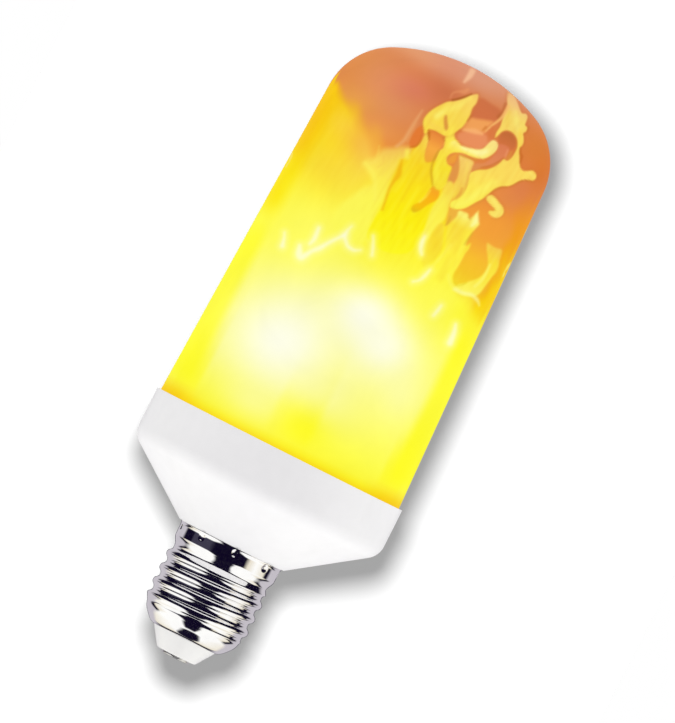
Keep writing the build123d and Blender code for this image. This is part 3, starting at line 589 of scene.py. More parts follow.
        (110, (247, 214, 40)), (113, (246, 200, 40)), (117, (247, 190, 46)), (120.5, (246, 172, 54)),
    ], [
        (18.7, 121), (22.4, 121), (23.3, 119.2), (24.2, 117.6), (24.7, 116), (24.5, 114.6), (23.7, 113),
        (22.5, 111.6), (21.3, 110.4), (20.2, 109.6), (19, 109.9), (18.3, 111.2), (18.5, 113.4), (18.6, 116),
        (18.9, 118.6),
    ]),
    "right_hook": (0.4, 0.92, [
        (108, (255, 250, 110)), (113, (254, 242, 72)), (118, (252, 230, 62)), (121.5, (248, 208, 76)),
    ], [
        (22.0, 121.8), (24, 121.7), (25.8, 121.8), (26.3, 120.6), (26.5, 119.4), (27.0, 118), (27.1, 116.4),
        (26.7, 115), (26.4, 113.2), (26.1, 111.4), (25.6, 109.8), (24.4, 108.6), (22, 108), (20, 108.4),
        (20.2, 109.5), (21.4, 110.6), (22.6, 111.8), (23.8, 113.2), (24.5, 114.8), (24.6, 116.4),
        (24.1, 117.9), (23.2, 119.3), (22.4, 120.5),
    ]),
    "pocket": (0.35, 0.95, [
        (120, (222, 188, 24)), (122, (246, 190, 16)), (125, (251, 178, 24)), (127, (250, 166, 36)),
        (128, (240, 176, 40)),
    ], [
        (4.4, 128.0), (5.4, 127.7), (6.3, 127.6), (6.7, 126.2), (6.4, 125), (5.6, 124), (4.9, 122.6),
        (4.1, 121.2), (3.1, 120.3), (2.2, 120.7), (2.2, 121.8), (3.0, 123), (3.7, 124.6), (4.0, 126.3),
    ]),
}

# Shapes that have a darker rim
RIMMED = ("tall_lick", "crown_and_arm", "curl")

# Brush lines: (points with half widths, softness, strength, colour)
LINES = [
    ([(-4.95, 130.2, 0.2), (-4.6, 128.4, 0.5), (-4.2, 126.8, 0.7), (-4.5, 124.8, 0.45), (-4.6, 122.6, 0.3),
      (-4.2, 120, 0.25), (-3.9, 117.6, 0.25)], 0.45, 0.85, (243, 184, 22)),
    ([(-6.0, 143, 0.1), (-6.3, 140, 0.3), (-6.5, 137, 0.4), (-6.7, 134.6, 0.4), (-7.6, 132.6, 0.3)], 0.5,
      0.6, (240, 182, 122)),
    ([(-5.8, 139.6, 0.15), (-5.9, 137, 0.3), (-5.8, 134.8, 0.3)], 0.3, 0.4, (236, 160, 96)),
    ([(-2.55, 139.5, 0.2), (-2.0, 138.5, 0.3), (-1.4, 137.4, 0.12)], 0.3, 0.85, (196, 108, 26)),
    ([(1.5, 139.3, 0.3), (2.0, 138.8, 0.15)], 0.35, 0.6, (200, 120, 40)),
    ([(1.75, 136.2, 0.15), (1.7, 134.4, 0.25), (1.9, 132.4, 0.25), (2.6, 130.6, 0.25), (3.5, 129.2, 0.25),
      (4.2, 128.1, 0.15)], 0.35, 0.7, (206, 158, 34)),
    ([(-3.6, 137.6, 0.1), (-3.2, 136.4, 0.2), (-3.5, 134.8, 0.25), (-4.6, 133.9, 0.2)], 0.3, 0.6,
      (206, 112, 28)),
    ([(2.7, 151.7, 0.15), (1.7, 150.5, 0.25), (0.3, 149.2, 0.25), (-0.7, 148.4, 0.25)], 0.3, 0.75,
      (168, 92, 38)),
    ([(-1.4, 148.7, 0.15), (-1.3, 150.0, 0.2), (-0.2, 150.9, 0.25), (0.9, 151.4, 0.5), (1.5, 152.3, 0.3)],
      0.4, 0.5, (238, 158, 104)),
    ([(5.0, 147, 0.2), (4.75, 145.6, 0.2)], 0.3, 0.6, (196, 112, 44)),
    ([(10.9, 153.2, 0.2), (11.2, 151.2, 0.3), (11.0, 149.8, 0.5)], 0.5, 0.6, (182, 98, 44)),
    ([(11.9, 153, 0.4), (11.8, 150.6, 0.4), (11.3, 149, 0.3), (10.6, 147.6, 0.25), (10.1, 146.4, 0.22),
      (9.7, 145.2, 0.1)], 0.3, 0.85, (250, 190, 108)),
    ([(9.3, 146.2, 0.3), (9.0, 145.3, 0.25)], 0.3, 0.6, (206, 118, 48)),
    ([(10.9, 146.8, 0.4), (11.0, 145, 0.6), (11.3, 143.6, 0.3)], 0.5, 0.6, (218, 118, 62)),
    ([(6.6, 137.35, 0.1), (8.4, 137.7, 0.18), (10.8, 138.1, 0.12)], 0.25, 0.6, (208, 152, 46)),
    ([(6.0, 137.3, 0.3), (5.6, 135.8, 0.9), (5.3, 135.0, 0.6)], 0.5, 0.75, (240, 164, 56)),
    ([(16.4, 143.6, 0.2), (16.6, 142.3, 0.25), (16.9, 141.5, 0.1)], 0.3, 0.5, (240, 160, 110)),
    ([(17.4, 143.6, 0.2), (17.4, 142.2, 0.35), (17.0, 141.4, 0.1)], 0.4, 0.6, (222, 150, 66)),
    ([(10.8, 130.6, 0.2), (10.9, 129.2, 0.35), (10.5, 127.9, 0.2)], 0.5, 0.7, (226, 150, 62)),
    ([(12.6, 137.2, 0.1), (14.2, 138.4, 0.15), (15.6, 140.2, 0.15), (16.2, 141.4, 0.1)], 0.25, 0.55,
      (196, 112, 44)),
    ([(20.9, 136.2, 0.1), (22.0, 137.9, 0.15), (23.2, 139.0, 0.15), (25, 139.6, 0.1)], 0.3, 0.55,
      (200, 118, 42)),
    ([(17.4, 132.6, 0.1), (17.9, 133.9, 0.2), (18.9, 135.0, 0.2), (20.2, 135.7, 0.1)], 0.3, 0.55,
      (206, 124, 42)),
    ([(18.9, 145.6, 0.15), (19.4, 144.4, 0.25), (20.1, 143.8, 0.3), (20.4, 142.4, 0.2)], 0.35, 0.6,
      (196, 102, 34)),
    ([(18.2, 148.7, 0.15), (18.6, 149.6, 0.2), (18.4, 150.8, 0.25)], 0.35, 0.55, (204, 118, 48)),
    ([(17.1, 131.3, 0.1), (16.3, 130.0, 0.2), (15.2, 128.4, 0.15), (13.8, 126.6, 0.1)], 0.3, 0.45,
      (222, 150, 60)),
    ([(19.6, 129.7, 0.1), (20.2, 129.5, 0.15), (19.4, 129.2, 0.1)], 0.3, 0.5, (216, 160, 52)),
    ([(22.3, 130.2, 0.1), (22.4, 129.0, 0.1), (21.6, 127.9, 0.1), (20.4, 127.5, 0.1)], 0.3, 0.35,
      (214, 140, 56)),
    ([(11.3, 123.4, 0.15), (11.5, 122, 0.25), (11.2, 121, 0.1)], 0.35, 0.6, (214, 168, 44)),
    ([(15.2, 125.3, 0.2), (15.8, 125.0, 0.25)], 0.3, 0.6, (222, 172, 60)),
    ([(17.9, 122.4, 0.1), (17.5, 120.4, 0.3), (17.3, 119, 0.2)], 0.35, 0.6, (216, 172, 44)),
    ([(18.5, 124.6, 0.1), (18.3, 123.2, 0.15)], 0.3, 0.5, (226, 160, 60)),
    ([(19.2, 109.8, 0.1), (20.4, 109.5, 0.15), (21.8, 110.9, 0.15)], 0.4, 0.5, (228, 206, 30)),
    ([(14.8, 119.6, 1.0), (14.0, 121.6, 1.0), (14.6, 117.4, 0.5)], 1.2, 0.6, (248, 216, 62)),
    ([(15.4, 114.6, 0.3), (15.9, 112.2, 0.6), (15.8, 109.6, 0.9)], 0.9, 0.5, (249, 226, 60)),
    # Light veins
    ([(2.9, 150.6, 0.3), (1.2, 147.8, 0.7), (-0.8, 145.7, 0.8), (-2.4, 143.6, 0.6)], 0.9, 0.55,
      (255, 242, 110)),
    ([(-1.6, 144.6, 0.2), (-2.3, 143.2, 0.5)], 0.9, 0.5, (255, 250, 130)),
    ([(3.8, 150.4, 0.3), (3.6, 147.4, 0.5), (3.2, 145, 0.4)], 0.8, 0.35, (249, 212, 92)),
    ([(-3.6, 141.6, 0.3), (-2.2, 140.8, 0.5), (0, 140.9, 0.4)], 0.7, 0.45, (248, 206, 88)),
    ([(2.2, 142.4, 0.3), (2.7, 140.2, 0.4), (3.4, 138.2, 0.5)], 0.6, 0.5, (255, 242, 86)),
    ([(3.0, 135.6, 0.2), (3.2, 133.4, 0.5), (3.8, 131.2, 0.5), (4.8, 129.6, 0.3)], 0.7, 0.5,
      (254, 242, 74)),
    ([(-4.8, 132.6, 0.5), (-4.2, 131.4, 0.5)], 0.7, 0.8, (255, 244, 88)),
    ([(-3.2, 130.8, 0.2), (-3.0, 128.6, 0.4), (-2.8, 126, 0.4), (-3.2, 123, 0.3)], 0.7, 0.5,
      (255, 240, 54)),
    ([(-0.4, 131, 0.3), (-0.7, 127, 0.4), (-0.5, 122, 0.4)], 0.9, 0.4, (248, 214, 24)),
    ([(1.4, 126, 0.3), (1.2, 121, 0.4), (1.6, 116, 0.3)], 0.9, 0.4, (255, 246, 44)),
    ([(4.3, 126.8, 0.1), (4.0, 125, 0.25), (3.2, 123.2, 0.25)], 0.35, 0.6, (255, 240, 64)),
    ([(6.6, 139.3, 0.3), (9, 139.6, 0.5), (10.8, 140.1, 0.7), (11.9, 141, 0.5)], 0.7, 0.7, (255, 252, 176)),
    ([(12.2, 142.6, 0.2), (12.9, 143.6, 0.3)], 0.6, 0.4, (250, 214, 120)),
    ([(16.8, 135.4, 0.5), (15.4, 132.6, 0.8), (14.2, 130.4, 0.8), (12.6, 127.6, 0.7), (11, 126.3, 0.3)],
      1.0, 0.6, (255, 250, 106)),
    ([(19.6, 138.4, 0.5), (18.2, 139.6, 0.6), (18.4, 142, 0.4)], 0.9, 0.35, (250, 214, 92)),
    ([(14.2, 152.6, 0.3), (15.2, 150.8, 0.6), (16.4, 149.2, 0.5)], 0.7, 0.6, (252, 238, 122)),
    ([(12.8, 152, 0.3), (13.2, 150, 0.4), (13.6, 148.8, 0.3)], 0.6, 0.4, (246, 206, 84)),
    ([(16.9, 149.3, 0.3), (17.8, 147.6, 0.4), (18.4, 146, 0.3)], 0.6, 0.5, (252, 212, 70)),
    ([(9.2, 136.6, 0.3), (10.1, 134.6, 0.3), (10.4, 132.4, 0.3)], 0.7, 0.4, (252, 226, 92)),
    ([(23.6, 141.3, 0.2), (24.6, 140.8, 0.3)], 0.5, 0.4, (255, 240, 130)),
    ([(17.8, 131.7, 0.2), (19.6, 131, 0.3), (21.2, 129.8, 0.3), (20.8, 128.5, 0.2)], 0.5, 0.5,
      (255, 242, 120)),
    ([(16.7, 126.6, 0.2), (17.2, 125.2, 0.6), (16.9, 123.8, 0.3)], 0.6, 0.8, (255, 254, 168)),
    ([(13.2, 125, 0.2), (14.4, 124.8, 0.4)], 0.6, 0.5, (255, 250, 126)),
    ([(17.0, 122, 0.2), (17.0, 118, 0.4), (17.6, 114, 0.4), (17.4, 111.6, 0.3)], 0.6, 0.5, (255, 248, 76)),
    ([(14.4, 117.4, 0.3), (13.9, 114.6, 0.35), (13.0, 111.6, 0.3), (12.4, 109.2, 0.2)], 0.5, 0.5,
      (255, 248, 92)),
    ([(8.0, 127, 0.4), (7.6, 122, 0.5), (8.0, 118, 0.4)], 0.8, 0.4, (255, 248, 96)),
    ([(24.9, 117.4, 0.15), (25.0, 115.2, 0.3), (24.8, 113.2, 0.3), (24.0, 111.2, 0.3)], 0.5, 0.7,
      (255, 250, 124)),
    ([(25.6, 119, 0.3), (26.3, 116.8, 0.3), (26, 114.4, 0.2)], 0.5, 0.3, (252, 232, 40)),
    ([(-12.4, 125.7, 0.2), (-10.8, 124.9, 0.4), (-9.2, 123.8, 0.4), (-7.8, 121.6, 0.4), (-6.6, 119, 0.3)],
      0.8, 0.5, (255, 246, 98)),
    ([(-8, 130.6, 0.2), (-7.4, 128, 0.3), (-7.8, 125, 0.2)], 0.8, 0.35, (246, 208, 84)),
    ([(-6.2, 131.6, 0.2), (-5.8, 128.4, 0.25), (-6, 125, 0.2)], 0.6, 0.4, (253, 232, 96)),
    ([(-11.4, 130.8, 0.1), (-10.8, 129, 0.2), (-10.6, 127, 0.2), (-11.8, 125.6, 0.1)], 0.4, 0.4,
      (252, 226, 96)),
    ([(-9.9, 129.6, 0.1), (-8.7, 127.8, 0.2), (-9.4, 126, 0.1)], 0.4, 0.3, (240, 188, 78)),
    ([(20, 108.4, 0.4), (22.2, 108.5, 0.4), (24.2, 109.0, 0.4), (26, 108.5, 0.4), (27, 107.6, 0.15)], 0.5,
      0.75, (255, 252, 158)),
    ([(17.2, 110.8, 0.2), (18.2, 109.4, 0.3), (19.6, 108.6, 0.4)], 0.6, 0.5, (255, 250, 110)),
    ([(0.4, 158, 0.7), (0.4, 155.6, 0.7), (-0.1, 153.6, 0.3)], 0.5, 0.9, (247, 192, 150)),
    ([(4.8, 143.2, 0.2), (7.2, 144.1, 0.6), (9.2, 144.4, 0.3)], 0.5, 0.8, (253, 184, 116)),
]
# Short bright lines on the yellow, all of one tone
GLINTS = [
    [(-22.2, 102.2, 0.2), (-21.7, 101, 0.3), (-21.3, 99.2, 0.5)],
    [(-17.6, 101, 0.3), (-16.9, 99.4, 0.8), (-16.2, 98.8, 0.8), (-15.4, 99.6, 0.6), (-14.4, 101.2, 0.4),
     (-13, 102.8, 0.45), (-12, 104.4, 0.4), (-11, 105.8, 0.35), (-9.9, 107.2, 0.4), (-9.2, 108.2, 0.5),
     (-9.0, 109.6, 0.3), (-8.6, 110.8, 0.1)],
    [(-9.2, 108, 0.35), (-8.2, 106.9, 0.35), (-7.2, 106.1, 0.35), (-5.6, 105.9, 0.3), (-4.2, 106.6, 0.15)],
    [(-3, 111, 0.15), (-2, 109, 0.3), (-1.2, 106.8, 0.25)],
    [(8.0, 116.4, 0.2), (8.1, 114.8, 0.45), (8.6, 113.2, 0.35), (9.3, 112.2, 0.2)],
    [(12.7, 109.8, 0.2), (12.3, 108.2, 0.35), (11.6, 106.6, 0.2), (10.4, 105.6, 0.1)],
    [(18.9, 103.4, 0.2), (18.7, 102, 0.4), (18.4, 100.6, 0.3)],
    [(24, 101, 0.2), (24.6, 99, 0.5), (24.8, 96.5, 0.7)],
    [(-15.4, 106.8, 0.2), (-15.2, 104.2, 0.35), (-15.6, 102.6, 0.2)],
]

# Soft spots of the lit part: (strength, (x, height, radius across, radius up, lean in degrees), tone)
GLOW_SPOTS = [
    (0.6, (-11, 62.5, 8, 4), (255, 253, 158)),
    (0.8, (-9, 83, 14, 15), (255, 255, 205)),
    (0.7, (8, 90, 13, 8.5, -25), (255, 255, 205)),
    (0.9, (-11.5, 78.5, 10.5, 9), (255, 255, 238)),
    (0.9, (3.5, 93.5, 8, 6.5), (255, 255, 240)),
    (0.85, (11, 88.5, 7.5, 6), (255, 255, 232)),
    (0.4, (20, 80, 5, 7), (255, 255, 190)),
    (0.4, (1, 72, 8, 5), (255, 254, 180)),
    (0.6, (3, 63, 6, 4), (255, 251, 26)),
    # Left side: pale yellow haze with gold behind it
    (0.6, (-15, 107, 13, 9), (255, 253, 110)),
    (0.5, (-8, 117, 6, 9, 15), (255, 251, 90)),
    (0.6, (-20, 121, 8, 6), (249, 211, 60)),
    (0.55, (-13, 122, 5, 6), (250, 222, 74)),
    (0.7, (-21, 131.5, 5, 4), (251, 214, 64)),
    (0.75, (-15, 130, 4.5, 5, 20), (243, 178, 74)),
    (0.6, (-11, 128.5, 4, 5), (250, 202, 92)),
]
GLOW_SPOTS_OVER_EDGES = [
    (0.6, (-28.5, 131, 3, 7), (249, 194, 0)),
    # Middle: deep yellow under the licks
    (0.8, (0, 119, 6.5, 11), (253, 238, 14)),
    # Right side
    (0.8, (28.5, 112, 3, 9), (251, 222, 0)),
    (0.45, (19, 105, 8, 5), (255, 252, 96)),
    (0.4, (24, 104, 3, 4), (255, 250, 36)),
]
# Soft spots of the dark part above the flame
SMOKE_SPOTS = [
    (0.85, (-14, 141, 12, 6), (224, 146, 96)),
    (0.75, (-25, 146, 7, 9), (226, 143, 66)),
    (0.75, (-11, 146.5, 8, 3.4, 8), (219, 122, 98)),
    (0.7, (-22, 137.5, 6, 3.6), (234, 166, 70)),
    (0.6, (-13, 134.5, 6, 2.6), (235, 156, 84)),
    (0.75, (-3, 149.6, 5, 3.2, -12), (206, 114, 74)),
    (0.8, (3, 156, 9, 3.4), (224, 158, 128)),
    (0.6, (-7, 155, 7, 3), (220, 142, 116)),
    (0.5, (8.5, 144, 4, 2.5), (228, 128, 84)),
    (0.8, (23, 147.5, 7, 6), (220, 128, 52)),
    (0.7, (26.5, 143, 3, 7), (218, 118, 40)),
    (0.7, (23.5, 136.5, 4, 4), (222, 128, 76)),
    (0.6, (21, 133, 4, 2.5), (228, 138, 76)),
    (0.7, (21, 125, 5, 4), (246, 160, 58)),
]
SMOKE_SPOTS_OVER_EDGE = [
    (0.5, (-13, 155, 7, 2.5), (238, 170, 118)),
    (0.5, (-19, 146, 7, 7), (230, 154, 104)),
]
GLOW = [
    (55.7, (252, 220, 24)), (56.7, (253, 240, 36)), (58.5, (254, 250, 62)), (62, (254, 253, 76)),
    (70, (255, 253, 96)), (80, (255, 253, 120)), (92, (255, 253, 104)), (100, (255, 252, 80)),
    (106, (255, 250, 68)), (110, (255, 247, 60)), (116, (254, 240, 48)), (122, (252, 230, 36)),
    (130, (250, 214, 24)), (140, (246, 192, 20)),
]
SMOKE = [
    (108, (247, 196, 44)), (118, (247, 180, 50)), (124, (244, 164, 56)), (130, (238, 148, 58)),
    (136, (228, 134, 64)), (142, (221, 124, 64)), (150, (219, 128, 76)), (157, (222, 142, 96)),
]
# The border between the two: its height and half its width along x
BORDER_X = [-30, -27.5, -26, -20, -14, -9, -6, -3, 2, 6, 9, 12, 16, 20, 24, 27, 31]
BORDER = [139.6, 139.4, 138, 136, 132.5, 129, 131, 134, 134, 131, 127, 122, 115, 111, 109, 107, 105]
BORDER_WIDTH_X = [-28.5, -26, -20, -12, -4, 4, 12, 26]
BORDER_WIDTH = [0.7, 2.2, 3.2, 4.5, 1.6, 1.6, 3.2, 4.0]

# More licks where the cover turns away from the front:
# (shapes, 1 as drawn or -1 mirrored, angle from the front, scale, shift in height)
SIDE_LICKS = [
    (("low_body",), -1, 92.0, 1.15, 3.0),
    (("tall_lick", "slit"), 1, 101.0, 0.9, 0.0),
    (("curl",), -1, 80.0, 0.9, -12.0),
    (("right_pocket", "right_hook"), -1, 110.0, 1.0, 1.0),
]

# The sides and the back repeat the front's picture, unrolled round the cover
MM_PER_DEGREE = 0.53
SIDE_ANGLE = 136
SIDE_X = 6
PICTURE_FOOT = 56
RIGHT_STRETCH, LEFT_STRETCH = 1.025, 0.985

CURVE_STEPS = 4
BRUSH_REACH = 2.5
FAR = 99.0
SMALL = 1e-9


def curved(points, closed=False):
    """The same run of points on a smooth curve through them."""
    whole = [points[-1], *points, points[0], points[1]] if closed else [points[0], *points, points[-1]]
    p = np.array(whole, float)
    run = []
    for i in range(1, len(p) - 2):
        for t in np.linspace(0, 1, CURVE_STEPS, endpoint=False):
            run.append(
                0.5
                * (
                    2 * p[i]
                    + (p[i + 1] - p[i - 1]) * t
                    + (2 * p[i - 1] - 5 * p[i] + 4 * p[i + 1] - p[i + 2]) * t**2
                    + (3 * p[i] - p[i - 1] - 3 * p[i + 1] + p[i + 2]) * t**3
                )
            )
    run.append(p[-2])
    return np.array(run)


def near(x, z, run):
    low_x, low_z = run[:, :2].min(axis=0) - BRUSH_REACH
    high_x, high_z = run[:, :2].max(axis=0) + BRUSH_REACH
    return (x > low_x) & (x < high_x) & (z > low_z) & (z < high_z)


def to_segment(px, pz, a, b):
    """Share of the way from a to b that lies nearest to each place, and the distance from there."""
    dx, dz = b[0] - a[0], b[1] - a[1]
    along = np.clip(((px - a[0]) * dx + (pz - a[1]) * dz) / max(dx * dx + dz * dz, SMALL), 0, 1)
    return along, np.hypot(px - a[0] - dx * along, pz - a[1] - dz * along)


def along_line(x, z, points):
    """How far inside a brush line each place lies, in millimetres; outside is negative."""
    run = curved(points)
    best = np.full(x.shape, -FAR)
    close = near(x, z, run)
    px, pz = x[close], z[close]
    found = np.full(px.shape, -FAR)
    for a, b in zip(run, run[1:]):
        along, away = to_segment(px, pz, a, b)
        found = np.maximum(found, a[2] + (b[2] - a[2]) * along - away)
    best[close] = found
    return best


def inside_shape(x, z, points):
    """How far inside a closed shape each place lies, in millimetres; outside is negative."""
    run = curved(points, closed=True)
    best = np.full(x.shape, -FAR)
    close = near(x, z, run)
    px, pz = x[close], z[close]
    nearest = np.full(px.shape, FAR)
    crossings = np.zeros(px.shape, int)
    for a, b in zip(run, run[1:]):
        nearest = np.minimum(nearest, to_segment(px, pz, a, b)[1])
        dx, dz = b[0] - a[0], b[1] - a[1]
        if abs(dz) > SMALL:
            spans = (a[1] > pz) != (b[1] > pz)
            crossings += (spans & (px < a[0] + dx * (pz - a[1]) / dz)).astype(int)
    best[close] = np.where(crossings % 2 == 1, nearest, -nearest)
    return best


def blob(x, z, middle_x, middle_z, radius_x, radius_z, lean=0.0):
    c, s = math.cos(math.radians(lean)), math.sin(math.radians(lean))
    dx, dz = x - middle_x, z - middle_z
    u, v = (dx * c + dz * s) / radius_x, (-dx * s + dz * c) / radius_z
    return np.exp(-(u * u + v * v))


def along_stops(value, stops):
    places = [s[0] for s in stops]
    return np.stack([np.interp(value, places, [s[1][k] for s in stops]) for k in range(3)], axis=1)


def paint(base, share, tone, z=None):
    share = np.clip(share, 0, 1)[:, None]
    over = along_stops(z, tone) if isinstance(tone, list) else np.array(tone, float)[None, :]
    return base * (1 - share) + over * share


def paint_spots(base, x, z, spots):
    for strength, place, tone in spots:
        base = paint(base, strength * blob(x, z, *place), tone)
    return base


def side_licks(colour, angle, z):
    beyond = smooth(74, 80, np.abs(angle))
    for names, hand, middle, scale, lift in SIDE_LICKS:
        points = [p for name in names for p in SHAPES[name][-1]]
        centre_x = sum(p[0] for p in points) / len(points)
        centre_z = sum(p[1] for p in points) / len(points)
        for side in (1, -1):
            x = hand * side * (angle - side * middle) * MM_PER_DEGREE / scale + centre_x
            height = (z - lift - centre_z) / scale + centre_z
            for name in names:
                softness, strength, tone, outline = SHAPES[name]
                depth = inside_shape(x, height, outline)
                colour = paint(colour, strength * smooth(-softness, softness, depth) * beyond, tone, z)
    return colour


def glow_picture(x, z, turn_angle):
    """The lit part of the flame, from the rim to above the border."""
    glow = along_stops(z, GLOW)
    # Bright stripes over the LED panels, deeper yellow over the edges of the core
    fold = np.abs(np.mod(turn_angle, 60.0) - 30.0)
    stripe = 1 - smooth(18.0, 22.5, fold)
    low = 1 - smooth(74, 94, z)
    wide = 1 - smooth(0, 24, x) * 0.8
    glow = paint(glow, 0.5 * stripe * low * wide * smooth(60, 72, z), (255, 255, 170))
    glow = paint(glow, 0.5 * (1 - stripe) * (1 - smooth(62, 74, z)) * smooth(57, 61, z), (255, 250, 30))
    # Deeper yellow in the lower corners and up both sides
    corner = smooth(20, 29, np.abs(x)) * (1 - smooth(56.4, 60.5, z))
    glow = paint(glow, 0.4 * corner, (246, 176, 0))
    sides = smooth(24.5, 27.5, np.abs(x)) * smooth(58, 63, z) * (1 - smooth(96, 108, z))
    glow = paint(glow, 0.9 * sides, (255, 252, 34))
    glow = paint_spots(glow, x, z, GLOW_SPOTS)
    # Gold along the left edge
    glow = paint(glow, 0.9 * smooth(23.5, 28, -x) * smooth(112, 124, z), (251, 206, 0))
    left_edge = smooth(24, 28.5, -x) * smooth(102, 110, z) * (1 - smooth(116, 124, z))
    glow = paint(glow, 0.85 * left_edge, (253, 230, 0))
    return paint_spots(glow, x, z, GLOW_SPOTS_OVER_EDGES)


def smoke_picture(x, z, ripple, tongue):
    """The dark part above the flame, with gold along its right edge."""
    smoke = paint_spots(along_stops(z, SMOKE), x, z, SMOKE_SPOTS)
    bent = x + 0.8 * ripple
    share = 0.85 * smooth(24.5, 28.5, bent) * (1 - smooth(124, 140, z - tongue))
    smoke = paint(smoke, share, (243, 158, 6))
    share = 0.95 * smooth(25.5, 28.0, bent) * (1 - smooth(113, 127, z - tongue))
    smoke = paint(smoke, share, (252, 212, 0))
    return paint_spots(smoke, x, z, SMOKE_SPOTS_OVER_EDGE)


def flame_picture(x, z, turn_angle):
    """Colours of the flame seen through the cover, in 0 to 255, at places (x, z) of one face of it."""
    ripple = (
        0.8 * np.sin(0.31 * x + 0.23 * z + 1.0)
        + 0.5 * np.sin(0.73 * x - 0.41 * z)
        + 0.3 * np.sin(1.3 * x + 0.9 * z + 2.0)
    )
    # Towards the sides of the lamp the borders rise and fall in pointed tongues
    aside = smooth(70, 80, np.abs(turn_angle))
    tongue = aside * (3 - 11 * np.abs(np.sin(np.radians(4.5 * turn_angle))))

    edge = np.interp(x, BORDER_X, BORDER)
    softness = np.interp(x, BORDER_WIDTH_X, BORDER_WIDTH)
    over = smooth(-1, 1, (z - edge - tongue + 0.9 * ripple) / softness)
    glow = glow_picture(x, z, turn_angle)
    smoke = smoke_picture(x, z, ripple, tongue)
    colour = glow * (1 - over[:, None]) + smoke * over[:, None]

    ruffle = 0.07 * ripple
    for name, (softness, strength, tone, outline) in SHAPES.items():
        depth = inside_shape(x, z, outline) + ruffle
        if name in RIMMED:
            colour = paint(colour, 0.3 * smooth(-1.0, 0.1, depth) * smooth(126, 134, z), (202, 108, 40))
        colour = paint(colour, strength * smooth(-softness, softness, depth), tone, z)
    for points, softness, strength, tone in LINES:
        colour = paint(colour, strength * smooth(-softness, softness, along_line(x, z, points)), tone)
    for points in GLINTS:
        depth = along_line(x, z, points) + 0.1 * ripple
        glint = 0.38 * smooth(-1.9, 0.6, depth) + 0.40 * smooth(-0.6, 0.5, depth)
        colour = paint(colour, glint, (255, 255, 222))
    # Fine streaks of the painted flame
    streak = np.sin(2.3 * x + 0.3 * z + 1.8 * np.sin(0.33 * z))
    streak = streak + np.sin(3.9 * x - 0.55 * z + 1.3 * np.sin(0.21 * z + x))
    streak = 0.5 * streak * smooth(100, 122, z) * smooth(185, 215, colour[:, 1])
    streak = streak * (0.3 + 0.7 * smooth(-10, -4, x))
    colour = paint(colour, 0.10 * np.clip(streak, 0, 1), (255, 246, 130))
    return paint(colour, 0.07 * np.clip(-streak, 0, 1), (214, 134, 50))


# Steps of the cover's rings in millimetres: close together where the flame has its fine shapes
WALL_STEP, FLAME_STEP, FLAME_FOOT = 1.4, 0.34, 94
CORNER_STEP, CROWN_STEP = 0.36, 0.9
INSERT_RING = 3.5
BISECTIONS = 60


def wall_radius(z):
    return COVER_BASE_RADIUS - (z - RIM_TOP) * math.tan(COVER_DRAFT)


def cover_profile():
    """Points (radius, height) up the cover's outer face: tapered wall, rounded corner and crown."""
    corner_z = COVER_TOP - CROWN_DROP
    crown_radius = (wall_radius(corner_z) ** 2 + CROWN_DROP**2) / (2 * CROWN_DROP)
    crown_z = COVER_TOP - crown_radius
    # The rounding's centre lies inside the wall and inside the crown by the rounding's radius
    rounding = DOME_CORNER_RADIUS
    inset = rounding / math.cos(COVER_DRAFT)
    low, high = crown_z, corner_z
    for _ in range(BISECTIONS):
        middle = (low + high) / 2
        if math.hypot(wall_radius(middle) - inset, middle - crown_z) < crown_radius - rounding:
            low = middle
        else:
            high = middle
    centre_z = low
    centre_r = wall_radius(centre_z) - inset
    points = [(COVER_BASE_RADIUS, z) for z in (COVER_FOOT, COVER_FOOT + INSERT_RING, RIM_TOP)]
    wall_end_z = centre_z + rounding * math.sin(COVER_DRAFT)
    z = RIM_TOP
    while z < wall_end_z - 0.3:
        z = min(z + (WALL_STEP if z < FLAME_FOOT else FLAME_STEP), wall_end_z)
        points.append((wall_radius(z), z))
    sweep = math.atan2(centre_z - crown_z, centre_r) - COVER_DRAFT
    count = max(2, int(rounding * sweep / CORNER_STEP))
    for i in range(1, count + 1):
        angle = COVER_DRAFT + sweep * i / count
        points.append((centre_r + rounding * math.cos(angle), centre_z + rounding * math.sin(angle)))
    crown_start = math.atan2(points[-1][0], points[-1][1] - crown_z)
    count = max(2, int(crown_radius * crown_start / CROWN_STEP))
    for i in range(1, count):
        angle = crown_start * (1 - i / count)
        points.append((crown_radius * math.sin(angle), crown_z + crown_radius * math.cos(angle)))
    return points


def cover_columns():
    """Angles round the axis, from the front: close together on the front half."""
    front_count, back_count = 290, 140
    front = np.linspace(-95, 95, front_count, endpoint=False)
    back = np.linspace(95, 265, back_count, endpoint=False)
    return np.radians(np.concatenate([front, back]))


def round_axis(rings, angles):
    """Places of the rings (radius, height) at angles counted from the front."""
    across, back = np.sin(angles), -np.cos(angles)
    rows = [np.stack([r * across, r * back, np.full_like(angles, z)], axis=-1) for r, z in rings]
    return np.concatenate(rows)


# The inner face takes one ring in six and one column in five of the outer face. Above the start of its lean
# it moves from straight in to mostly straight down.
RING_SKIP, COLUMN_SKIP = 6, 5
LEAN_START = 126
LEAN_SHARE = 0.72
CROWN_TONE = (224, 148, 116)


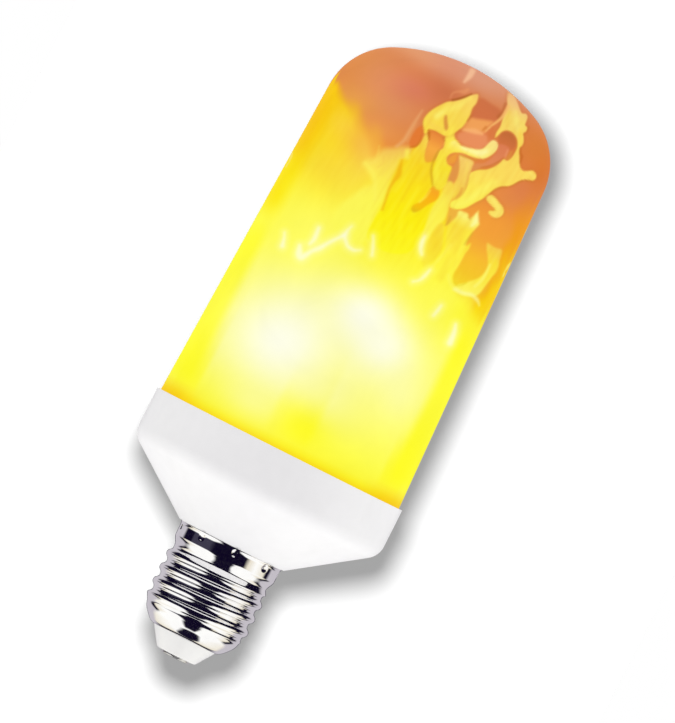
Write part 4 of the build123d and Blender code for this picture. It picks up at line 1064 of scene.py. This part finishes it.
def cover_mesh():
    """The cover's places, its faces, and how many places its outer face has without the top one."""
    profile = cover_profile()
    columns = cover_columns()
    count = len(columns)
    outer = round_axis(profile, columns)
    top = len(outer)
    faces = ring_faces(len(profile), count)
    last = (len(profile) - 1) * count
    faces += [(last + j, last + (j + 1) % count, top) for j in range(count)]

    inner = []
    for pr, pz in [profile[0], *profile[3::RING_SKIP], profile[-1]]:
        lean = min(1.0, max(0.0, (pz - LEAN_START) / (COVER_TOP - LEAN_START)))
        inner.append((max(pr - COVER_WALL * (1 - lean * LEAN_SHARE), 0.2), pz - COVER_WALL * lean))
    inner[0] = (COVER_BASE_RADIUS - COVER_WALL, COVER_FOOT)
    inner_angles = columns[::COLUMN_SKIP]
    inner_count = len(inner_angles)
    first = top + 1
    faces += [tuple(reversed(f)) for f in ring_faces(len(inner), inner_count, first)]
    inner_top = first + len(inner) * inner_count
    last = inner_top - inner_count
    faces += [(last + (j + 1) % inner_count, last + j, inner_top) for j in range(inner_count)]
    # The foot joins each inner column to the outer columns beside it
    for j in range(inner_count):
        a = first + j
        b = first + (j + 1) % inner_count
        for k in range(COLUMN_SKIP):
            here = (j * COLUMN_SKIP + k) % count
            there = (j * COLUMN_SKIP + k + 1) % count
            faces.append((a, b, there, here) if k == COLUMN_SKIP - 1 else (a, there, here))
    tops = np.array([[0, 0, COVER_TOP]]), np.array([[0, 0, COVER_TOP - COVER_WALL]])
    return np.concatenate([outer, tops[0], round_axis(inner, inner_angles), tops[1]]), faces, top


def cover_colours(outer):
    """Colours of the outer face, worked out where the camera of the photograph sees each place."""
    x, y, z = outer[:, 0], outer[:, 1], outer[:, 2]
    angle = np.degrees(np.arctan2(x, -y))
    nearer = CAMERA_DISTANCE / (CAMERA_DISTANCE + y)
    picture = flame_picture(VIEW_X + (x - VIEW_X) * nearer, VIEW_Z + (z - VIEW_Z) * nearer, angle)
    right_x = SIDE_X - (angle - SIDE_ANGLE) * MM_PER_DEGREE
    side_right = flame_picture(right_x, PICTURE_FOOT + (z - PICTURE_FOOT) * RIGHT_STRETCH, angle)
    back_angle = np.where(angle > 0, angle - 360, angle)
    left_x = SIDE_X + (back_angle + SIDE_ANGLE) * MM_PER_DEGREE
    side_left = flame_picture(left_x, PICTURE_FOOT + (z - PICTURE_FOOT) * LEFT_STRETCH, angle)
    to_right = smooth(84, 94, angle) * (1 - smooth(176, 180, angle))
    # On the left the two pictures meet on a wavy line
    wave = 7 * np.sin(0.13 * z) + 4 * np.sin(0.31 * z + 1.0) - 11
    to_left = np.maximum(smooth(84, 98, wave - angle), smooth(172, 180, angle))
    blended = picture * (1 - to_right[:, None]) + side_right * to_right[:, None]
    blended = blended * (1 - to_left[:, None]) + side_left * to_left[:, None]
    blended = side_licks(blended, angle, z)
    crown = (1 - smooth(3.0, 11.0, np.hypot(x, y))) * smooth(140, 150, z)
    return paint(blended, crown * smooth(-12, -2, y), CROWN_TONE)


def build_cover():
    places, faces, top = cover_mesh()
    piece = new_object("flame_cover", places * MM, faces)
    colours = np.zeros((len(places), 3))
    colours[:] = (255, 250, 120)
    colours[:top] = cover_colours(places[:top])
    colours[top] = CROWN_TONE
    values = np.ones((len(places), 4), np.float32)
    values[:, :3] = to_linear(np.clip(colours, 0, 255))
    layer = piece.data.attributes.new("flame_light", "FLOAT_COLOR", "POINT")
    layer.data.foreach_set("color", values.reshape(-1))
    return piece


def cover_material():
    """Translucent plastic that glows in the colours of the flame."""
    material, n, shader, place = new_material("lit_diffuser")
    flame = n.add("ShaderNodeAttribute", attribute_name="flame_light").outputs["Color"]
    drift = n.noise(70.0, 3.0, 0.55, place, 0.6)
    haze = n.spread(drift, 0.965, 1.02)
    n.link(n.mix(1.0, flame, haze, "MULTIPLY"), shader.inputs["Emission Color"])
    shader.inputs["Emission Strength"].default_value = 0.94
    n.link(n.mix(1.0, flame, (0.06, 0.06, 0.06, 1), "MULTIPLY"), shader.inputs["Base Color"])
    grain = n.noise(2600.0, 2.0, 0.5, place)
    n.link(n.spread(grain, 0.46, 0.58), shader.inputs["Roughness"])
    shader.inputs["Specular IOR Level"].default_value = 0.015
    n.link(n.bump(grain, 0.04, 0.0001), shader.inputs["Normal"])
    material.cycles.emission_sampling = "NONE"
    return material


cover = build_cover()
cover.data.materials.append(cover_material())
cover.visible_diffuse = False
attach(cover, "root")
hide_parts("diffuser_cover")


# ---------------------------------------------------------------- the screw shell


def shell_radius(angle, z):
    """Outer radius of the screw shell at an angle from +X and a height."""
    depth = CREST_RADIUS - ROOT_RADIUS
    rounding = depth / 4 + PITCH**2 / (16 * depth)
    turn = (z - THREAD_START) / PITCH - (angle - THREAD_PHASE) / (2 * math.pi)
    away = np.abs((turn + 0.5) % 1.0 - 0.5) * PITCH
    crest = CREST_RADIUS - rounding + np.sqrt(np.maximum(rounding**2 - np.minimum(away, PITCH / 4) ** 2, 0))
    from_root = PITCH / 2 - np.maximum(away, PITCH / 4)
    root = ROOT_RADIUS + rounding - np.sqrt(np.maximum(rounding**2 - from_root**2, 0))
    profile = np.where(away < PITCH / 4, crest, root)
    rise = np.minimum((z - THREAD_START) / THREAD_RAMP, (THREAD_END - z) / THREAD_RAMP)
    envelope = CORE_RADIUS + (CREST_RADIUS + RAMP_OVERSHOOT - CORE_RADIUS) * np.clip(rise, 0, 1)
    core = np.full_like(z, CORE_RADIUS - 0.02)
    radius = soft_max(soft_min(profile, envelope, RAMP_BLEND), core, CORE_BLEND)
    # Bell
    up_bell = np.maximum(z - MOUTH_HEIGHT, 0)
    swell = BELL_SWELL * (1 - np.exp(-up_bell / BELL_SWELL_HEIGHT))
    bell = soft_min(MOUTH_RADIUS + BELL_SLOPE * up_bell + swell, np.full_like(z, CORE_RADIUS), BELL_BLEND)
    radius = np.where(z < THREAD_START, bell, radius)
    # Skirt and lip
    up = smooth(SKIRT_START, THREAD_END + SKIRT_BLEND, z)
    skirt = CORE_RADIUS + (CREST_RADIUS - CORE_RADIUS) * up
    radius = np.where(z > SKIRT_START, np.maximum(radius, skirt), radius)
    lip = np.clip((z - (SHELL_TOP - LIP_HEIGHT)) / LIP_HEIGHT, 0, 1)
    turned = np.clip((z - (SHELL_TOP - LIP_TURN)) / LIP_TURN, 0, 1)
    radius = radius + LIP_FLARE * lip**2 - LIP_TURN_DEPTH * turned**2
    # Dimples, only on the skirt
    for k in range(DIMPLE_COUNT):
        middle = DIMPLE_FIRST + 2 * math.pi * k / DIMPLE_COUNT
        across = ((angle - middle + math.pi) % (2 * math.pi) - math.pi) * CREST_RADIUS
        flat = DIMPLE_RADIUS**2 - across**2 - (z - DIMPLE_HEIGHT) ** 2
        ball = CREST_RADIUS + DIMPLE_RADIUS - DIMPLE_DEPTH - np.sqrt(np.maximum(flat, 0))
        ball = np.where(flat > 0, ball, CREST_RADIUS + 1.2)
        radius = np.where(z > THREAD_END + 1.5, soft_min(radius, ball, DIMPLE_BLEND), radius)
    return radius


def build_shell():
    """Rings up the outer face and down the inner face, a sheet's thickness further in."""
    columns = 340
    zones = [MOUTH_HEIGHT, MOUTH_HEIGHT + 0.9, THREAD_START, THREAD_END, SHELL_TOP - 2.9, SHELL_TOP]
    ring_counts = [12, 22, 112, 20, 36]
    inner_rings = 62
    outer_z = np.unique(np.concatenate([np.linspace(*zone) for zone in zip(zones, zones[1:], ring_counts)]))
    inner_z = np.linspace(MOUTH_HEIGHT, SHELL_TOP, inner_rings)[::-1]
    angles = np.linspace(0, 2 * math.pi, columns, endpoint=False)
    rows = []
    for heights, inset in ((outer_z, 0), (inner_z, SHEET)):
        for z in heights:
            r = shell_radius(angles, np.full_like(angles, z)) - inset
            rows.append(np.stack([r * np.cos(angles), r * np.sin(angles), np.full_like(r, z)], axis=-1))
    faces = ring_faces(len(rows), columns)
    last = (len(rows) - 1) * columns
    faces += [(last + j, last + (j + 1) % columns, (j + 1) % columns, j) for j in range(columns)]
    return new_object("threaded_shell", np.concatenate(rows) * MM, faces)


def chrome_material():
    material, n, shader, place = new_material("bright_nickel")
    cloud = n.noise(180.0, 4.0, 0.6, place)
    tone = n.ramp(cloud, [(0.3, (0.90, 0.89, 0.90, 1)), (0.7, (0.97, 0.965, 0.96, 1))])
    n.link(tone, shader.inputs["Base Color"])
    shader.inputs["Metallic"].default_value = 1.0
    scratch = n.noise(1500.0, 3.0, 0.6, place)
    n.link(n.spread(scratch, 0.035, 0.085), shader.inputs["Roughness"])
    wave = n.noise(260.0, 1.0, 0.4, place)
    n.link(n.bump(wave, 0.12, 0.0004), shader.inputs["Normal"])
    return material


shell = build_shell()
shell.data.materials.append(chrome_material())
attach(shell, "root")
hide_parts("screw_shell")


# ---------------------------------------------------------------- materials of the solids

# Piece, or the start of its name: (material, darker tone, lighter tone, roughness, other settings)
LOOKS = {
    "base_housing": (
        "moulded_white", (241, 241, 240), (247, 247, 246), (0.34, 0.44),
        dict(grain=300.0, bump=0.03, specular=0.35),
    ),
    "tip_insulator": (
        "glazed_white", (228, 228, 225), (236, 236, 232), (0.16, 0.26), dict(grain=400.0, bump=0.04),
    ),
    "core_former": ("former_white", (226, 227, 228), (238, 238, 238), (0.45, 0.6), {}),
    "core_top_cap": ("cap_white", (228, 229, 230), (240, 240, 240), (0.4, 0.55), {}),
    "driver_board": ("board_green", (18, 84, 46), (30, 104, 60), (0.3, 0.42), dict(grain=1400.0, coat=0.3)),
    "input_capacitor": ("sleeve_black", (24, 26, 32), (38, 40, 48), (0.25, 0.4), {}),
    "output_capacitor": ("sleeve_blue", (26, 38, 78), (38, 54, 98), (0.25, 0.4), {}),
    "choke": ("choke_sleeve", (30, 28, 27), (52, 47, 44), (0.45, 0.6), {}),
    "bridge_rectifier": ("epoxy_black", (26, 26, 27), (40, 40, 42), (0.45, 0.6), {}),
    "fusible_resistor": ("resistor_green", (96, 128, 98), (120, 150, 118), (0.45, 0.6), {}),
    "driver_chip": ("chip_black", (22, 22, 24), (36, 36, 38), (0.5, 0.65), {}),
    "flame_controller": ("chip_grey", (26, 26, 28), (42, 42, 44), (0.5, 0.65), {}),
    "row_switches": ("switch_black", (24, 24, 25), (38, 38, 40), (0.5, 0.65), {}),
    "live_wire": ("wire_red", (150, 22, 20), (176, 34, 28), (0.35, 0.5), {}),
    "neutral_wire": ("wire_black", (24, 24, 26), (38, 38, 40), (0.35, 0.5), {}),
    "led_panel": ("panel_white", (232, 233, 232), (244, 244, 242), (0.3, 0.42), dict(grain=1400.0)),
    "leds": ("led_phosphor", (240, 186, 60), (250, 206, 84), (0.25, 0.4), dict(grain=2400.0)),
}
materials = {
    "diffuser_cover": cover.data.materials[0],
    "screw_shell": shell.data.materials[0],
    "centre_contact": plain_material(
        "tinned_contact", (0.55, 0.54, 0.53, 1), (0.78, 0.77, 0.75, 1), (0.2, 0.4), metallic=1.0, bump=0.2
    ),
    "core_screw": plain_material(
        "zinc_screw", (0.50, 0.51, 0.53, 1), (0.68, 0.69, 0.71, 1), (0.25, 0.4), metallic=1.0
    ),
}
for name, (title, dark, light_tone, roughness, settings) in LOOKS.items():
    materials[name] = plain_material(title, rgba(*dark), rgba(*light_tone), roughness, **settings)
for name, node in nodes.items():
    node.data.materials.clear()
    node.data.materials.append(materials.get(name) or materials[name.rsplit("_", 1)[0]])
